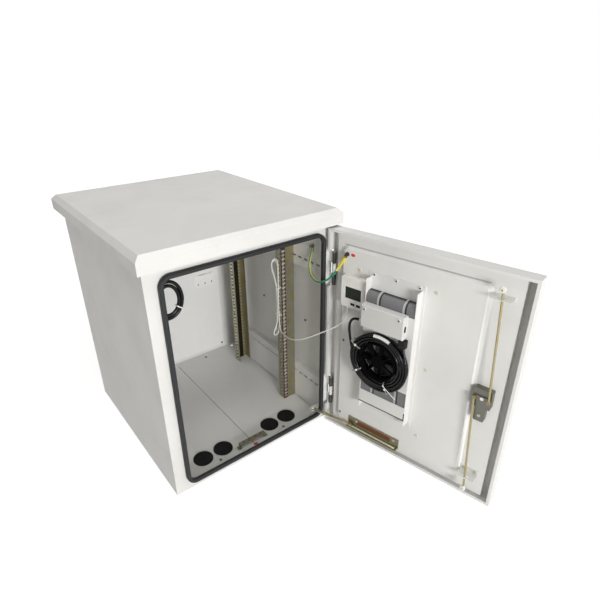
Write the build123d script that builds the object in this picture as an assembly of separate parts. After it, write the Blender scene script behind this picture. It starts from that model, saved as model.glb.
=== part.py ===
from build123d import *
import math
import os

os.makedirs("parts", exist_ok=True)

# Frame: origin at the middle of the base, +X to the right, +Y to the back, +Z up, in millimetres.
# The door is modelled shut, in its own terms, and then turned open about its hinge pins:
# s runs from the hinge edge across the door, t from the lip plane out to the skin, z is up.

# Cabinet body
BODY_W = 600
BODY_D = 650
BODY_H = 778
SHEET = 1.5
WALL_RETURN = 20
CUT = 4
FRONT = -BODY_D / 2
BACK = BODY_D / 2
SIDE = BODY_W / 2

# Roof cover
ROOF_T = 2
ROOF_SIDE = 18
ROOF_FRONT = 30
ROOF_BACK = 49
ROOF_DROP = 47
ROOF_CHAMFER = 14
CHAMFER_WALL_SHARE = 2 - math.sqrt(2)

# Base and floor
BASE_T = 2
BASE_RIM = 45
BASE_HOLE_R = 6
BASE_HOLE_INSET = (31, 22.5)
FLOOR_LAP = (5, 12)
FLOOR_SEAM = 1
GROMMET_Y = 81
GROMMET_X = (95, 169)
GROMMET_R = 32.5
GROMMET_NECK_R = 28.5
GROMMET_H = 3
GROMMET_FOOT_R = 31
GROMMET_FOOT_H = 1.6
GROMMET_DISH = 1.2
GROMMET_PLAY = 0.05

# Door opening, its forward flange and the seal on it
SEAL_INSET = 34
SEAL_DROP = 66
SEAL_Z0 = 24
SEAL_W = BODY_W - 2 * SEAL_INSET
SEAL_H = BODY_H - SEAL_Z0 - SEAL_DROP
SEAL_RING = 12
SEAL_R = 34
SEAL_LEG = 4
SEAL_ROUND = 4.5
SEAL_PLAY = 0.3
FLANGE_H = 12

# Rack rails and the bearers that carry them
RACK_UNIT = 44.45
RACK_STEPS = (6.35, 22.225, 38.1)
RACK_HOLE = 9.5
RACK_HOLE_INSET = 7.55
RACK_HEADROOM = 60
RAIL_INSET = 75
RAIL_T = 2
RAIL_WEB = 32
RAIL_END = 10
RAIL_LIFT = 1
FRONT_RAIL_Y = 164
REAR_RAIL_INSET = 135
BEARER_D = 21.5
BEARER_H = 146
BEARER_INSET = 22
BEARER_REAR_INSET = 40
LOWER_BEARER_Z = 5
UPPER_BEARER_DROP = 77
BEARER_SLOT = (18, 6)
BEARER_SLOTS = 19
SLOT_LINE_SHARE = 0.79
RAIL_X = SIDE - RAIL_INSET
RACK_HALF_PITCH = RAIL_X + RACK_HOLE_INSET
RACK_UNITS = int((BODY_H - RACK_HEADROOM - 2 * RAIL_END) / RACK_UNIT)
REAR_RAIL_Y = BODY_D - REAR_RAIL_INSET
UPPER_BEARER_Z = BODY_H - UPPER_BEARER_DROP - BEARER_H

# Lining of the back wall and its small bracket
LINER_INSET = 62
LINER_LOW = 16
LINER_DROP = 78
LINER_W = BODY_W - 2 * LINER_INSET
LINER_Z = (LINER_LOW, BODY_H - LINER_DROP)
BRACKET_W = 92
BRACKET_H = 58
BRACKET_INSET = 124
BRACKET_DROP = 428
BRACKET_X = SIDE - BRACKET_INSET
BRACKET_Z = BODY_H - BRACKET_DROP
BRACKET_HOLE_SHARE = 0.26
BRACKET_T = 2
BRACKET_FOLD = 12
BRACKET_HOLE_R = 3.5

# Earth bar on the floor
BAR_L = 92
BAR_W = 15
BAR_T = 4
BAR_Y = 46
BAR_LIFT = 14
BAR_FOOT = 12
BAR_SCREWS = 4

# Screws
SCREW_R = 4.5
SCREW_H = 2.4
WALL_SCREW_Y = (127, 385)
WALL_SCREW_DROP = 438
FLOOR_SCREW_INSET = 40
STUD_R = 3
STUD_L = 14
NUT_R = 5.5
NUT_H = 5
LUG_T = 1.6
LUG_R = 6.5
LUG_L = 20

# Door pan
DOOR_W = BODY_W
DOOR_Z0 = 6
DOOR_DROP = 52
DOOR_H = BODY_H - DOOR_Z0 - DOOR_DROP
DOOR_DEPTH = 40
DOOR_GAP = 5
LIP = 8
DOOR_OPEN = 101.5
LOUVRE_W = 120
LOUVRE_H = 5
LOUVRE_PITCH = 13
LOUVRE_ROWS = 7
LOUVRE_SHARES = (0.16, 0.72)

# Inner door panel: seal landing with a raised field
LANDING_T = 12
LANDING_EDGE = 30
LANDING_LOW = 18
LANDING_DROP = 60
LANDING_Z = (LANDING_LOW, BODY_H - LANDING_DROP)
PANEL_SHEET = 1.2
FIELD_T = 2
FIELD_HINGE_EDGE = 58
FIELD_LOCK_EDGE = 112
FIELD_LOW = 50
FIELD_DROP = 102
FIELD_S = (FIELD_HINGE_EDGE, DOOR_W - FIELD_LOCK_EDGE)
FIELD_Z = (FIELD_LOW, BODY_H - FIELD_DROP)
FIELD_SLOPE = 10
FIELD_R = 14
FIELD_NUTS = ((116, 621), (359, 621), (357, 375), (355, 130), (69, 365), (67, 73))

# Hinges
PIN_S = 10
PIN_T = 20
PIN_R = 3
KNUCKLE_R = 6.5
KNUCKLE_H = 36
KNUCKLE_GAP = 0.4
HINGE_LOW = 127
HINGE_DROP = 186
HINGE_Z = (HINGE_LOW, BODY_H - HINGE_DROP)
LEAF_T = 3
LEAF_W = 26
LEAF_EDGE = 2
DOOR_LEAF_W = 20
NOTCH_T = 30
NOTCH_ROOM = 3
RUN_PLAY = 0.05

# Lock with two rods
LOCK_INSET = 74
LOCK_DROP = 413
LOCK_S = DOOR_W - LOCK_INSET
LOCK_Z = BODY_H - LOCK_DROP
LOCK_W = 50
LOCK_SPAN = (-75, 27)
LOCK_STEP = -30
TONGUE_W = 28
TONGUE_SCREW = -56
LOCK_TOP_T = -8
LOCK_EDGE = 4
CAM_R = 20
CAM_W = 14
CAM_T = 3
CAM_PLAY = 0.3
CAM_PIN_R = 2.5
SPINDLE_R = 5
ROD_T = -15
ROD_R = 3
EYE_R = 4.5
EYE_H = 6.4
ROLLER_LOW = 46
ROLLER_DROP = 88
ROLLER_Z = (ROLLER_LOW, BODY_H - ROLLER_DROP)
ROLLER_R = 8
ROLLER_H = 6
AXLE_R = 2
AXLE_HEAD_R = 3.5
AXLE_HEAD = 1.5
GUIDE_W = 50
GUIDE_H = 16
GUIDE_T = 2
GUIDE_REACH = -24
GUIDE_INSETS = (40, 26)
GUIDE_SLOT = (22, 8)

# Handle outside
PLATE_W = 36
PLATE_H = 130
PLATE_T = 3
HANDLE_HUB_R = 15
HANDLE_L = 105
HANDLE_W = 20
HANDLE_TIP_W = 14
HANDLE_GAP = 1
HANDLE_T = 14
HANDLE_LIFT = 12
HANDLE_ROUND = 3

# Door stay: flat arm, sliding bolt and slotted track
STAY_INSET = 64
STAY_X = SIDE - STAY_INSET
STAY_Y = 10
STAY_W = 12
STAY_T = 3
STAY_PIN_R = 3
STAY_BOSS_R = 7
STAY_SHELF = (64, 20)
STAY_SHELF_T = 2.5
STAY_FLANGE_H = 26
TRACK_S = (104, 298)
TRACK_Z = 45
TRACK_H = 34
TRACK_T = 2
TRACK_REACH = 20
TRACK_SLOT_W = 8
TRACK_SLOT_END = 8
BOLT_R = 3.8
BOLT_HEAD_R = 6.5
BOLT_HEAD_H = 2.6
BOLT_PLAY = 0.2
SLIDE_PLAY = 0.3

# Levels of what hangs on the door are drawn for one height of body, and rise and fall with it
DRAWN_H = 778
LIFT_SHARE = BODY_H / DRAWN_H


def raised(drawn):
    """Drawn levels carried to the body's own height."""
    return [LIFT_SHARE * level for level in drawn]


# Controller
CONTROL_S = (64, 148)
CONTROL_LEVELS = (498, 597)
CONTROL_Z = raised(CONTROL_LEVELS)
CONTROL_FRONT = -16
CONTROL_ROUND = 5
SCREEN_S = (80, 136)
SCREEN_LEVELS = (528, 566)
SCREEN_Z = raised(SCREEN_LEVELS)
SCREEN_DEPTH = 2
SCREEN_T = 1.4
BUTTON_S = (108, 128)
BUTTON_LEVEL = 512
BUTTON_Z = LIFT_SHARE * BUTTON_LEVEL
BUTTON_SIZE = (14, 7)
BUTTON_TRAVEL = 1
BUTTON_PROUD = 1.6
BUTTON_BODY = 3
BUTTON_PLAY = 0.2
BUTTON_FLOOR = 0.5

# Door heat exchanger
UNIT_S = (150, 328)
UNIT_LEVELS = (150, 632)
UNIT_Z = raised(UNIT_LEVELS)
UNIT_WALL_INSET = 8
UNIT_WALL_T = -28.4
UNIT_WALL_LEVELS = (164, 616)
UNIT_WALL_Z = raised(UNIT_WALL_LEVELS)
FLANGE_SCREWS = ((168, 622), (239, 622), (311, 622))
COVER_LEVELS = (287, 540)
COVER_Z = raised(COVER_LEVELS)
TRAY_LEVELS = (187, 235)
TRAY_Z = raised(TRAY_LEVELS)
CORE_LEVELS = (192, 577)
CORE_Z = raised(CORE_LEVELS)
CORE_T = -26
CORE_ROUND = 20
CORE_PLAY = 0.2
STRAP_S = (200, 282)
STRAP_W = 6
STRAP_T = 0.8
BOX_S = (161, 300)
BOX_LEVELS = (474.5, 546)
BOX_Z = raised(BOX_LEVELS)
BOX_T = -52
BOX_ROUND = 3
BOX_SLOT = (6, 16)
BOX_SLOT_LIFT = 33
BOX_SLOT_Z = BOX_Z[0] + BOX_SLOT_LIFT
BOX_SLOT_T = -42
BOX_SLOT_DEPTH = 6
FAN_S = 224
FAN_R = 62
FAN_WALL = 4
FAN_T = -53
FAN_BACK = 3
FAN_HUB_R = 20
FAN_BORE_R = 4
FAN_BLADES = 7
FAN_TIP_PLAY = 2.5
FAN_ARM_W = 8
BLADE_T = 2
BLADE_PITCH = 32

# Power lead, its coil round the fan and its connector
LEAD_R = 4
GLAND_R = 7
GLAND_L = 8
GLAND_LIFT = 11
GLAND_Z = BOX_Z[0] + GLAND_LIFT
GLAND_T = -39
COIL_R = 65.5
COIL_W = 35.5
COIL_DROP = 5.5
COIL_T = (-28.8, -52.8)
COIL_ROUND = 9
COIL_Z = BOX_Z[0] - COIL_DROP - COIL_R - COIL_W
CONNECTOR_S = (286, 308)
CONNECTOR_RISE = (-26.3, -4.3)
CONNECTOR_Z = [BOX_Z[0] + rise for rise in CONNECTOR_RISE]
CONNECTOR_T = (-30, -50)
CONNECTOR_ROUND = 3

# The coil hangs on the fan barrel, so its middle lies lower than the fan's
FAN_Z = COIL_Z + COIL_R - FAN_R - SEAL_PLAY

# Route of the power lead: across the door, through it, and up from the control box's foot
LEAD_ROUTE = (
    (153, -39, 11), (139, -39, 11), (126.5, -39.3, 5), (118.5, -39.6, -6.5), (116, -40, -22),
    (117, -40, -38.5), (120.5, -40, -55.5), (126, -40, -71.5), (133, -40, -86.5), (141.5, -40, -101.5),
)
ROUTE_BEND_SHARE = 0.45

# Earth wire from the body to the door: points in from the side, back from the front and down from the top
WIRE_R = 3
BODY_STUD_Y = 62
BODY_STUD_DROP = 133
BODY_STUD_Z = BODY_H - BODY_STUD_DROP
DOOR_STUD_S = 71
DOOR_STUD_DROP = 118
DOOR_STUD_Z = BODY_H - DOOR_STUD_DROP
DOOR_LUG_TURN = -29
EARTH_ROUTE = (
    (27.9, 62, 140), (27.9, 62, 162), (34, 54, 186), (42, 40, 205), (49, 27, 217), (54, 2, 226),
    (52, -22, 218), (44, -44, 202), (35.9, -58.3, 180), (27.1, -66.2, 162), (23.19, -75.08, 144.25),
    (21.07, -85.52, 125),
)

# Sensor lead to a hank on the right front rail: points in from the side, back from the front and up
# from the controller's foot
SENSOR_R = 2
SENSOR_ROUTE = (
    (22.5, -104, 0), (22.5, -104, -20), (24, -101, -40), (29, -92, -61), (39, -73, -82), (52, -48, -102),
    (66, -20, -123), (79, 10, -145), (89, 42, -166), (94, 76, -181), (93, 108, -190), (89, 136, -193),
    (84.6, 164, -190),
)
HANK_Y = 172
HANK_R = 8
HANK_X = RAIL_X - HANK_R - SEAL_PLAY
HANK_RISE = (-198, 76)
HANK_Z = [CONTROL_Z[0] + rise for rise in HANK_RISE]

# Looped spare cable inside the left wall
LOOP_INSET = 74
LOOP_DROP = 148
LOOP_X = SIDE - LOOP_INSET
LOOP_Y = 50
LOOP_Z = BODY_H - LOOP_DROP
LOOP_R = 42
LOOP_RUN = 40
LOOP_BEND_SHARE = 0.9
LOOP_TUBE_R = 8
CLIP_WALL = 1
CLIP_H = 14

# Sizes that follow from those above
FLOOR_TOP = BASE_T + SHEET
INNER_X = SIDE - SHEET
BEARER_X = INNER_X - BEARER_D
LANDING_Y = FRONT - DOOR_GAP - LANDING_T
SEAL_MID_Z = SEAL_Z0 + SEAL_H / 2
FLANGE_INSET = (SEAL_RING - SHEET) / 2
HINGE_X = DOOR_W / 2 - PIN_S
HINGE_Y = FRONT - DOOR_GAP - PIN_T
HINGE_LINE = Axis((HINGE_X, HINGE_Y, 0), (0, 0, 1))
SKIN_T = DOOR_DEPTH - SHEET
UNIT_BASE = FIELD_T - SHEET
SIDES = {"left": -1, "right": 1}
PIECES = {}


def slab(x, y, z):
    """Block between two limits on each axis, given in either order."""
    spans = [(min(pair), max(pair)) for pair in (x, y, z)]
    middles = [sum(pair) / 2 for pair in spans]
    return Pos(*middles) * Box(*[pair[1] - pair[0] for pair in spans])


def door_x(s):
    return DOOR_W / 2 - s


def door_y(t):
    return FRONT - DOOR_GAP - t


def door_slab(s, t, z):
    """Block on the shut door, between limits across, through and up it."""
    return slab([door_x(v) for v in s], [door_y(v) for v in t], z)


def door_round(s, z, t, radius):
    """Round bar square to the shut door, between two depths."""
    middle = Pos(door_x(s), (door_y(t[0]) + door_y(t[1])) / 2, z)
    return middle * Rot(90, 0, 0) * Cylinder(radius, abs(t[1] - t[0]))


def upright(x, y, z, radius):
    """Upright round bar between two heights."""
    return Pos(x, y, (z[0] + z[1]) / 2) * Cylinder(radius, abs(z[1] - z[0]))


def side_round(x, y, z, radius):
    """Round bar along X between two places."""
    return Pos((x[0] + x[1]) / 2, y, z) * Rot(0, 90, 0) * Cylinder(radius, abs(x[1] - x[0]))


def turned_open(shape):
    return shape.rotate(HINGE_LINE, DOOR_OPEN)


def open_point(s, t):
    """Where a point of the shut door comes to lie when the door stands open."""
    turn = math.radians(DOOR_OPEN)
    dx = door_x(s) - HINGE_X
    dy = door_y(t) - HINGE_Y
    x = HINGE_X + dx * math.cos(turn) - dy * math.sin(turn)
    y = HINGE_Y + dx * math.sin(turn) + dy * math.cos(turn)
    return x, y


def rounded_ring(width, height, radius, wall):
    """Sketch of a round-cornered band, seen from the front."""
    inner = RectangleRounded(width - 2 * wall, height - 2 * wall, radius - wall)
    return RectangleRounded(width, height, radius) - inner


def facing(sketch, y0, y1, z):
    """Extrude a front-facing sketch between two depths, with its middle at height z."""
    return Pos(0, max(y0, y1), z) * extrude(Plane.XZ * sketch, abs(y1 - y0))


def tube_along(points, radius):
    """Plain tube on straight runs joined by the largest arcs that the runs allow."""
    corners = [Vector(*point) for point in points]
    bends = []
    for before, here, after in zip(corners, corners[1:], corners[2:]):
        turn = math.radians((here - before).get_angle(after - here))
        run = min((here - before).length, (after - here).length)
        bends.append(ROUTE_BEND_SHARE * run / math.tan(turn / 2))
    print("bend radii", [round(bend) for bend in bends])
    path = FilletPolyline(*corners, radius=bends)
    start = Plane(origin=corners[0], z_dir=corners[1] - corners[0])
    tube = sweep(start * Circle(radius), path)
    print("tube volume over section times length", tube.volume / (math.pi * radius**2 * path.length))
    return tube


# Cabinet body


def base_frame():
    plate = slab((-SIDE, SIDE), (FRONT, BACK), (0, BASE_T))
    plate -= slab((BASE_RIM - SIDE, SIDE - BASE_RIM), (FRONT + BASE_RIM, BACK - BASE_RIM), (-CUT, BASE_T + CUT))
    for x in (-1, 1):
        for y in (-1, 1):
            place = (x * (SIDE - BASE_HOLE_INSET[0]), y * (BACK - BASE_HOLE_INSET[1]))
            plate -= upright(*place, (-CUT, BASE_T + CUT), BASE_HOLE_R)
    return plate


def floor_plate(side):
    x = (side * FLOOR_SEAM / 2, side * (SIDE - BASE_RIM + FLOOR_LAP[0]))
    lap = BASE_RIM - FLOOR_LAP[1]
    plate = slab(x, (FRONT + lap, BACK - lap), (BASE_T, FLOOR_TOP))
    for place in GROMMET_X:
        plate -= upright(side * place, FRONT + GROMMET_Y, (BASE_T - CUT, FLOOR_TOP + CUT), GROMMET_NECK_R)
    for y in (FRONT + FLOOR_SCREW_INSET, BACK - FLOOR_SCREW_INSET):
        plate -= upright(side * (SIDE - BASE_RIM) / 2, y, (FLOOR_TOP, FLOOR_TOP + CUT), SCREW_R)
    return plate


def grommet(x):
    """Rubber plug: a rim above the floor, a neck in the hole, a foot under it and a dished middle."""
    neck = GROMMET_NECK_R - GROMMET_PLAY
    top = FLOOR_TOP + GROMMET_H
    body = upright(x, FRONT + GROMMET_Y, (FLOOR_TOP, top), GROMMET_R)
    body = chamfer(body.edges().group_by(Axis.Z)[-1], GROMMET_H / 2)
    body += upright(x, FRONT + GROMMET_Y, (BASE_T, FLOOR_TOP), neck)
    body += upright(x, FRONT + GROMMET_Y, (BASE_T - GROMMET_FOOT_H, BASE_T), GROMMET_FOOT_R)
    return body - upright(x, FRONT + GROMMET_Y, (top - GROMMET_DISH, top + CUT), neck - GROMMET_H)


def side_wall(side):
    """Side sheet with its rear edge folded in behind the back panel."""
    height = (BASE_T, BODY_H - SHEET)
    sheet = slab((side * INNER_X, side * SIDE), (FRONT + SHEET, BACK), height)
    return sheet + slab((side * (SIDE - WALL_RETURN), side * SIDE), (BACK - SHEET, BACK), height)


def back_wall():
    return slab((-INNER_X, INNER_X), (BACK - 2 * SHEET, BACK - SHEET), (BASE_T, BODY_H - SHEET))


def top_panel():
    return slab((-SIDE, SIDE), (FRONT, BACK), (BODY_H - SHEET, BODY_H))


def flange_ring(y0, y1):
    band = rounded_ring(SEAL_W - 2 * FLANGE_INSET, SEAL_H - 2 * FLANGE_INSET, SEAL_R - FLANGE_INSET, SHEET)
    return facing(band, y0, y1, SEAL_MID_Z)


def front_frame():
    """Front sheet whose opening is turned forward into a flange for the seal."""
    inset = FLANGE_INSET + SHEET
    hole = RectangleRounded(SEAL_W - 2 * inset, SEAL_H - 2 * inset, SEAL_R - inset)
    sheet = slab((-SIDE, SIDE), (FRONT, FRONT + SHEET), (BASE_T, BODY_H - SHEET))
    sheet -= facing(hole, FRONT - CUT, FRONT + SHEET + CUT, SEAL_MID_Z)
    return sheet + flange_ring(FRONT - FLANGE_H, FRONT + SHEET)


def door_seal():
    """Edge seal: a rounded bulb in front and two legs astride the flange."""
    front = LANDING_Y + SEAL_PLAY
    ring = facing(rounded_ring(SEAL_W, SEAL_H, SEAL_R, SEAL_RING), front, FRONT - SEAL_LEG, SEAL_MID_Z)
    ring = fillet(ring.edges().group_by(Axis.Y)[0], SEAL_ROUND)
    return ring - flange_ring(FRONT - FLANGE_H, FRONT)


def roof_shell(inset, chamfer_size):
    x = SIDE + ROOF_SIDE - inset
    y = (FRONT - ROOF_FRONT + inset, BACK + ROOF_BACK - inset)
    top = BODY_H + ROOF_T - inset
    low = BODY_H + ROOF_T - ROOF_DROP
    block = slab((-x, x), y, (low if inset == 0 else low - CUT, top))
    return chamfer(block.edges().group_by(Axis.Z)[-1], chamfer_size)


def roof_cover():
    """Rain cover folded from one sheet: flat top, sloping edge and upright fascia on all four sides."""
    return roof_shell(0, ROOF_CHAMFER) - roof_shell(ROOF_T, ROOF_CHAMFER - CHAMFER_WALL_SHARE * ROOF_T)


# Rack rails and bearers


def rack_rail(side, y, depth):
    """Channel rail: a punched mounting face, a punched inner web and a plain outer one, which run back
    from the face by depth's sign."""
    low = FLOOR_TOP + RAIL_LIFT
    height = RACK_UNITS * RACK_UNIT + 2 * RAIL_END
    spots = []
    for unit in range(RACK_UNITS):
        for step in RACK_STEPS:
            spots.append(RAIL_END + unit * RACK_UNIT + step - height / 2)
    hole = Rectangle(RACK_HOLE, RACK_HOLE)
    face = Pos((RAIL_X + BEARER_X) / 2, 0) * Rectangle(BEARER_X - RAIL_X, height)
    face -= [Pos(RACK_HALF_PITCH, spot) * hole for spot in spots]
    flange = Pos(0, y + RAIL_T / 2, low + height / 2) * extrude(Plane.XZ * face, RAIL_T / 2, both=True)
    reach = (y, y + RAIL_WEB) if depth > 0 else (y + RAIL_T - RAIL_WEB, y + RAIL_T)
    side_view = Rectangle(RAIL_WEB, height)
    side_view -= [Pos(0, spot) * hole for spot in spots]
    rail = flange + Pos(RAIL_X, sum(reach) / 2, low + height / 2) * extrude(Plane.YZ * side_view, RAIL_T)
    rail += slab((BEARER_X - RAIL_T, BEARER_X), reach, (low, low + height))
    return rail if side > 0 else mirror(rail, Plane.YZ)


def bearer(side, low, line_share):
    """Channel along the side wall, with a row of slots for the rails' screws."""
    y = (FRONT + BEARER_INSET, BACK - BEARER_REAR_INSET)
    face = slab((BEARER_X, BEARER_X + SHEET), y, (low, low + BEARER_H))
    pitch = (y[1] - y[0]) / BEARER_SLOTS
    for step in range(BEARER_SLOTS):
        middle = y[0] + (step + 1 / 2) * pitch
        z = low + line_share * BEARER_H
        length, width = BEARER_SLOT
        face -= slab((BEARER_X - CUT, BEARER_X + SHEET + CUT), (middle - length / 2, middle + length / 2),
                     (z - width / 2, z + width / 2))
    for edge in (low, low + BEARER_H - SHEET):
        face += slab((BEARER_X, INNER_X), y, (edge, edge + SHEET))
    return face if side > 0 else mirror(face, Plane.YZ)


# Back lining, bracket and earth bar


def back_liner():
    y = BACK - 2 * SHEET
    return slab((-LINER_W / 2, LINER_W / 2), (y - SHEET, y), LINER_Z)


def back_bracket():
    """Round-cornered plate with a row of three holes and a narrow fold along its top."""
    y = BACK - 3 * SHEET
    face = Pos(BRACKET_X, 0) * RectangleRounded(BRACKET_W, BRACKET_H, BRACKET_H / 4)
    for step in (-1, 0, 1):
        place = (BRACKET_X + step * BRACKET_W / 3, (BRACKET_HOLE_SHARE - 1 / 2) * BRACKET_H)
        face -= Pos(*place) * Circle(BRACKET_HOLE_R)
    plate = facing(face, y - BRACKET_T, y, BRACKET_Z)
    half = BRACKET_W / 2 - BRACKET_H / 4
    top = BRACKET_Z + BRACKET_H / 2
    return plate + slab((BRACKET_X - half, BRACKET_X + half), (y - BRACKET_FOLD, y), (top - BRACKET_T, top))


def bar_spots():
    return [BAR_L * ((step + 1 / 2) / BAR_SCREWS - 1 / 2) for step in range(BAR_SCREWS)]


def earth_bar():
    """Raised bar on two folded feet, tapped along its length."""
    y = (FRONT + BAR_Y - BAR_W / 2, FRONT + BAR_Y + BAR_W / 2)
    top = FLOOR_TOP + BAR_LIFT + BAR_T
    half = BAR_L / 2
    bar = slab((-half, half), y, (top - BAR_T, top))
    for side in (-1, 1):
        bar += slab((side * half, side * (half + BAR_T)), y, (FLOOR_TOP, top))
        bar += slab((side * half, side * (half + BAR_FOOT)), y, (FLOOR_TOP, FLOOR_TOP + BAR_T))
    return bar


def lug_on_side(x, y, z):
    """Ring lug flat against an inward-facing side, its tail hanging down to the wire."""
    ring = side_round((x, x - LUG_T), y, z, LUG_R)
    ring += slab((x, x - LUG_T), (y - STUD_R, y + STUD_R), (z - LUG_L, z))
    return ring - side_round((x + CUT, x - LUG_T - CUT), y, z, STUD_R)


def cabinet_fixings():
    """Screws of floor, back lining and earth bar, wall screws, and the earth stud with its lug and nut."""
    pieces = []
    for side in (-1, 1):
        for y in (FRONT + FLOOR_SCREW_INSET, BACK - FLOOR_SCREW_INSET):
            pieces.append(upright(side * (SIDE - BASE_RIM) / 2, y, (FLOOR_TOP, FLOOR_TOP + SCREW_H), SCREW_R))
        for y in WALL_SCREW_Y:
            depth = (side * INNER_X, side * (INNER_X - SCREW_H))
            pieces.append(side_round(depth, FRONT + y, BODY_H - WALL_SCREW_DROP, SCREW_R))
    liner_y = BACK - 3 * SHEET
    inset = 2 * SCREW_R
    for x in (inset - LINER_W / 2, LINER_W / 2 - inset):
        for z in (LINER_Z[0] + inset, LINER_Z[1] - inset):
            screw = Rot(90, 0, 0) * Cylinder(SCREW_R, SCREW_H)
            pieces.append(Pos(x, liner_y - SCREW_H / 2, z) * screw)
    for x in bar_spots():
        top = FLOOR_TOP + BAR_LIFT + BAR_T
        pieces.append(upright(x, FRONT + BAR_Y, (top, top + SCREW_H), SCREW_R))
    stud_y = FRONT + BODY_STUD_Y
    face = BEARER_X
    stud = side_round((face, face - STUD_L), stud_y, BODY_STUD_Z, STUD_R)
    pieces.append(stud)
    pieces.append(lug_on_side(face, stud_y, BODY_STUD_Z))
    nut = side_round((face - LUG_T, face - LUG_T - NUT_H), stud_y, BODY_STUD_Z, NUT_R)
    pieces.append(nut - side_round((face, face - STUD_L), stud_y, BODY_STUD_Z, STUD_R))
    return pieces


# Hinges


def hinge_levels(middle):
    """Heights of the lower, middle and upper knuckle of one hinge."""
    step = KNUCKLE_H + KNUCKLE_GAP
    lows = [middle - KNUCKLE_H / 2 + level * step for level in (-1, 0, 1)]
    return [(low, low + KNUCKLE_H) for low in lows]


def frame_leaf(middle):
    """Plate on the front frame with two arms that carry the outer knuckles."""
    lower, _, upper = hinge_levels(middle)
    x0 = SIDE - LEAF_EDGE
    leaf = slab((x0 - LEAF_W, x0), (FRONT - LEAF_T, FRONT), (lower[0], upper[1]))
    for level in (lower, upper):
        leaf += slab((HINGE_X - LEAF_T / 2, HINGE_X + LEAF_T / 2), (HINGE_Y, FRONT), level)
        leaf += upright(HINGE_X, HINGE_Y, level, KNUCKLE_R)
    return leaf - upright(HINGE_X, HINGE_Y, (lower[0] - CUT, upper[1] + CUT), PIN_R + RUN_PLAY)


def door_leaf(middle):
    """Middle knuckle on an arm from a plate inside the door's skin."""
    level = hinge_levels(middle)[1]
    leaf = door_slab((PIN_S, PIN_S + DOOR_LEAF_W), (SKIN_T - LEAF_T, SKIN_T), level)
    leaf += door_slab((PIN_S - LEAF_T / 2, PIN_S + LEAF_T / 2), (PIN_T, SKIN_T), level)
    leaf += upright(HINGE_X, HINGE_Y, level, KNUCKLE_R)
    return leaf - upright(HINGE_X, HINGE_Y, (level[0] - CUT, level[1] + CUT), PIN_R + RUN_PLAY)


def hinge_pin(middle):
    """Pin with a small head that rests on the upper knuckle."""
    lower, _, upper = hinge_levels(middle)
    pin = upright(HINGE_X, HINGE_Y, (lower[0], upper[1]), PIN_R)
    return pin + upright(HINGE_X, HINGE_Y, (upper[1], upper[1] + PIN_R), KNUCKLE_R - PIN_R / 2)


# Door


def door_shell():
    """Folded pan: skin, four returns and an inward lip, notched for the hinges and louvred for the unit."""
    z = (DOOR_Z0, DOOR_Z0 + DOOR_H)
    pan = door_slab((0, DOOR_W), (0, DOOR_DEPTH), z)
    pan -= door_slab((SHEET, DOOR_W - SHEET), (SHEET, SKIN_T), (z[0] + SHEET, z[1] - SHEET))
    pan -= door_slab((LIP, DOOR_W - LIP), (-CUT, SHEET + CUT), (z[0] + LIP, z[1] - LIP))
    for middle in HINGE_Z:
        lower, _, upper = hinge_levels(middle)
        span = (lower[0] - NOTCH_ROOM, upper[1] + PIN_R + NOTCH_ROOM)
        pan -= door_slab((-CUT, LIP + CUT), (-CUT, NOTCH_T), span)
    pan -= door_round(LOCK_S, LOCK_Z, (SKIN_T - CUT, DOOR_DEPTH + CUT), SPINDLE_R + RUN_PLAY)
    return pan - louvres()


def louvres():
    """Two banks of level slots in the skin, behind the foot and the head of the exchanger."""
    middle = sum(UNIT_S) / 2
    slots = []
    for share in LOUVRE_SHARES:
        low = UNIT_Z[0] + share * (UNIT_Z[1] - UNIT_Z[0])
        for row in range(LOUVRE_ROWS):
            z = low + row * LOUVRE_PITCH
            across = (middle - LOUVRE_W / 2, middle + LOUVRE_W / 2)
            slots.append(door_slab(across, (SKIN_T - CUT, DOOR_DEPTH + CUT), (z, z + LOUVRE_H)))
    return slots


def field_solid(grow, drop, base):
    """Raised field with sloping sides, lofted from its foot to its face."""
    width = FIELD_S[1] - FIELD_S[0] - 2 * grow
    height = FIELD_Z[1] - FIELD_Z[0] - 2 * grow
    middle = (door_x(sum(FIELD_S) / 2), sum(FIELD_Z) / 2)
    face = Plane.XZ.offset(-door_y(FIELD_T + drop)) * Pos(*middle) * RectangleRounded(width, height, FIELD_R)
    foot = Plane.XZ.offset(-door_y(base)) * Pos(*middle)
    foot *= RectangleRounded(width + 2 * FIELD_SLOPE, height + 2 * FIELD_SLOPE, FIELD_R + FIELD_SLOPE)
    return loft([foot, face])


def door_panel():
    """Pressed inner panel: a tray that rests on the skin, a flat landing for the seal and a raised field."""
    s = (LANDING_EDGE, DOOR_W - LANDING_EDGE)
    tray = door_slab(s, (LANDING_T, SKIN_T), LANDING_Z)
    inside = (s[0] + PANEL_SHEET, s[1] - PANEL_SHEET)
    up = (LANDING_Z[0] + PANEL_SHEET, LANDING_Z[1] - PANEL_SHEET)
    tray -= door_slab(inside, (LANDING_T + PANEL_SHEET, SKIN_T + CUT), up)
    tray += field_solid(0, 0, LANDING_T)
    tray -= field_solid(PANEL_SHEET, PANEL_SHEET, LANDING_T + PANEL_SHEET)
    return tray - door_round(LOCK_S, LOCK_Z, (LANDING_T - CUT, SKIN_T), SPINDLE_R + RUN_PLAY)


# Lock


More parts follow.
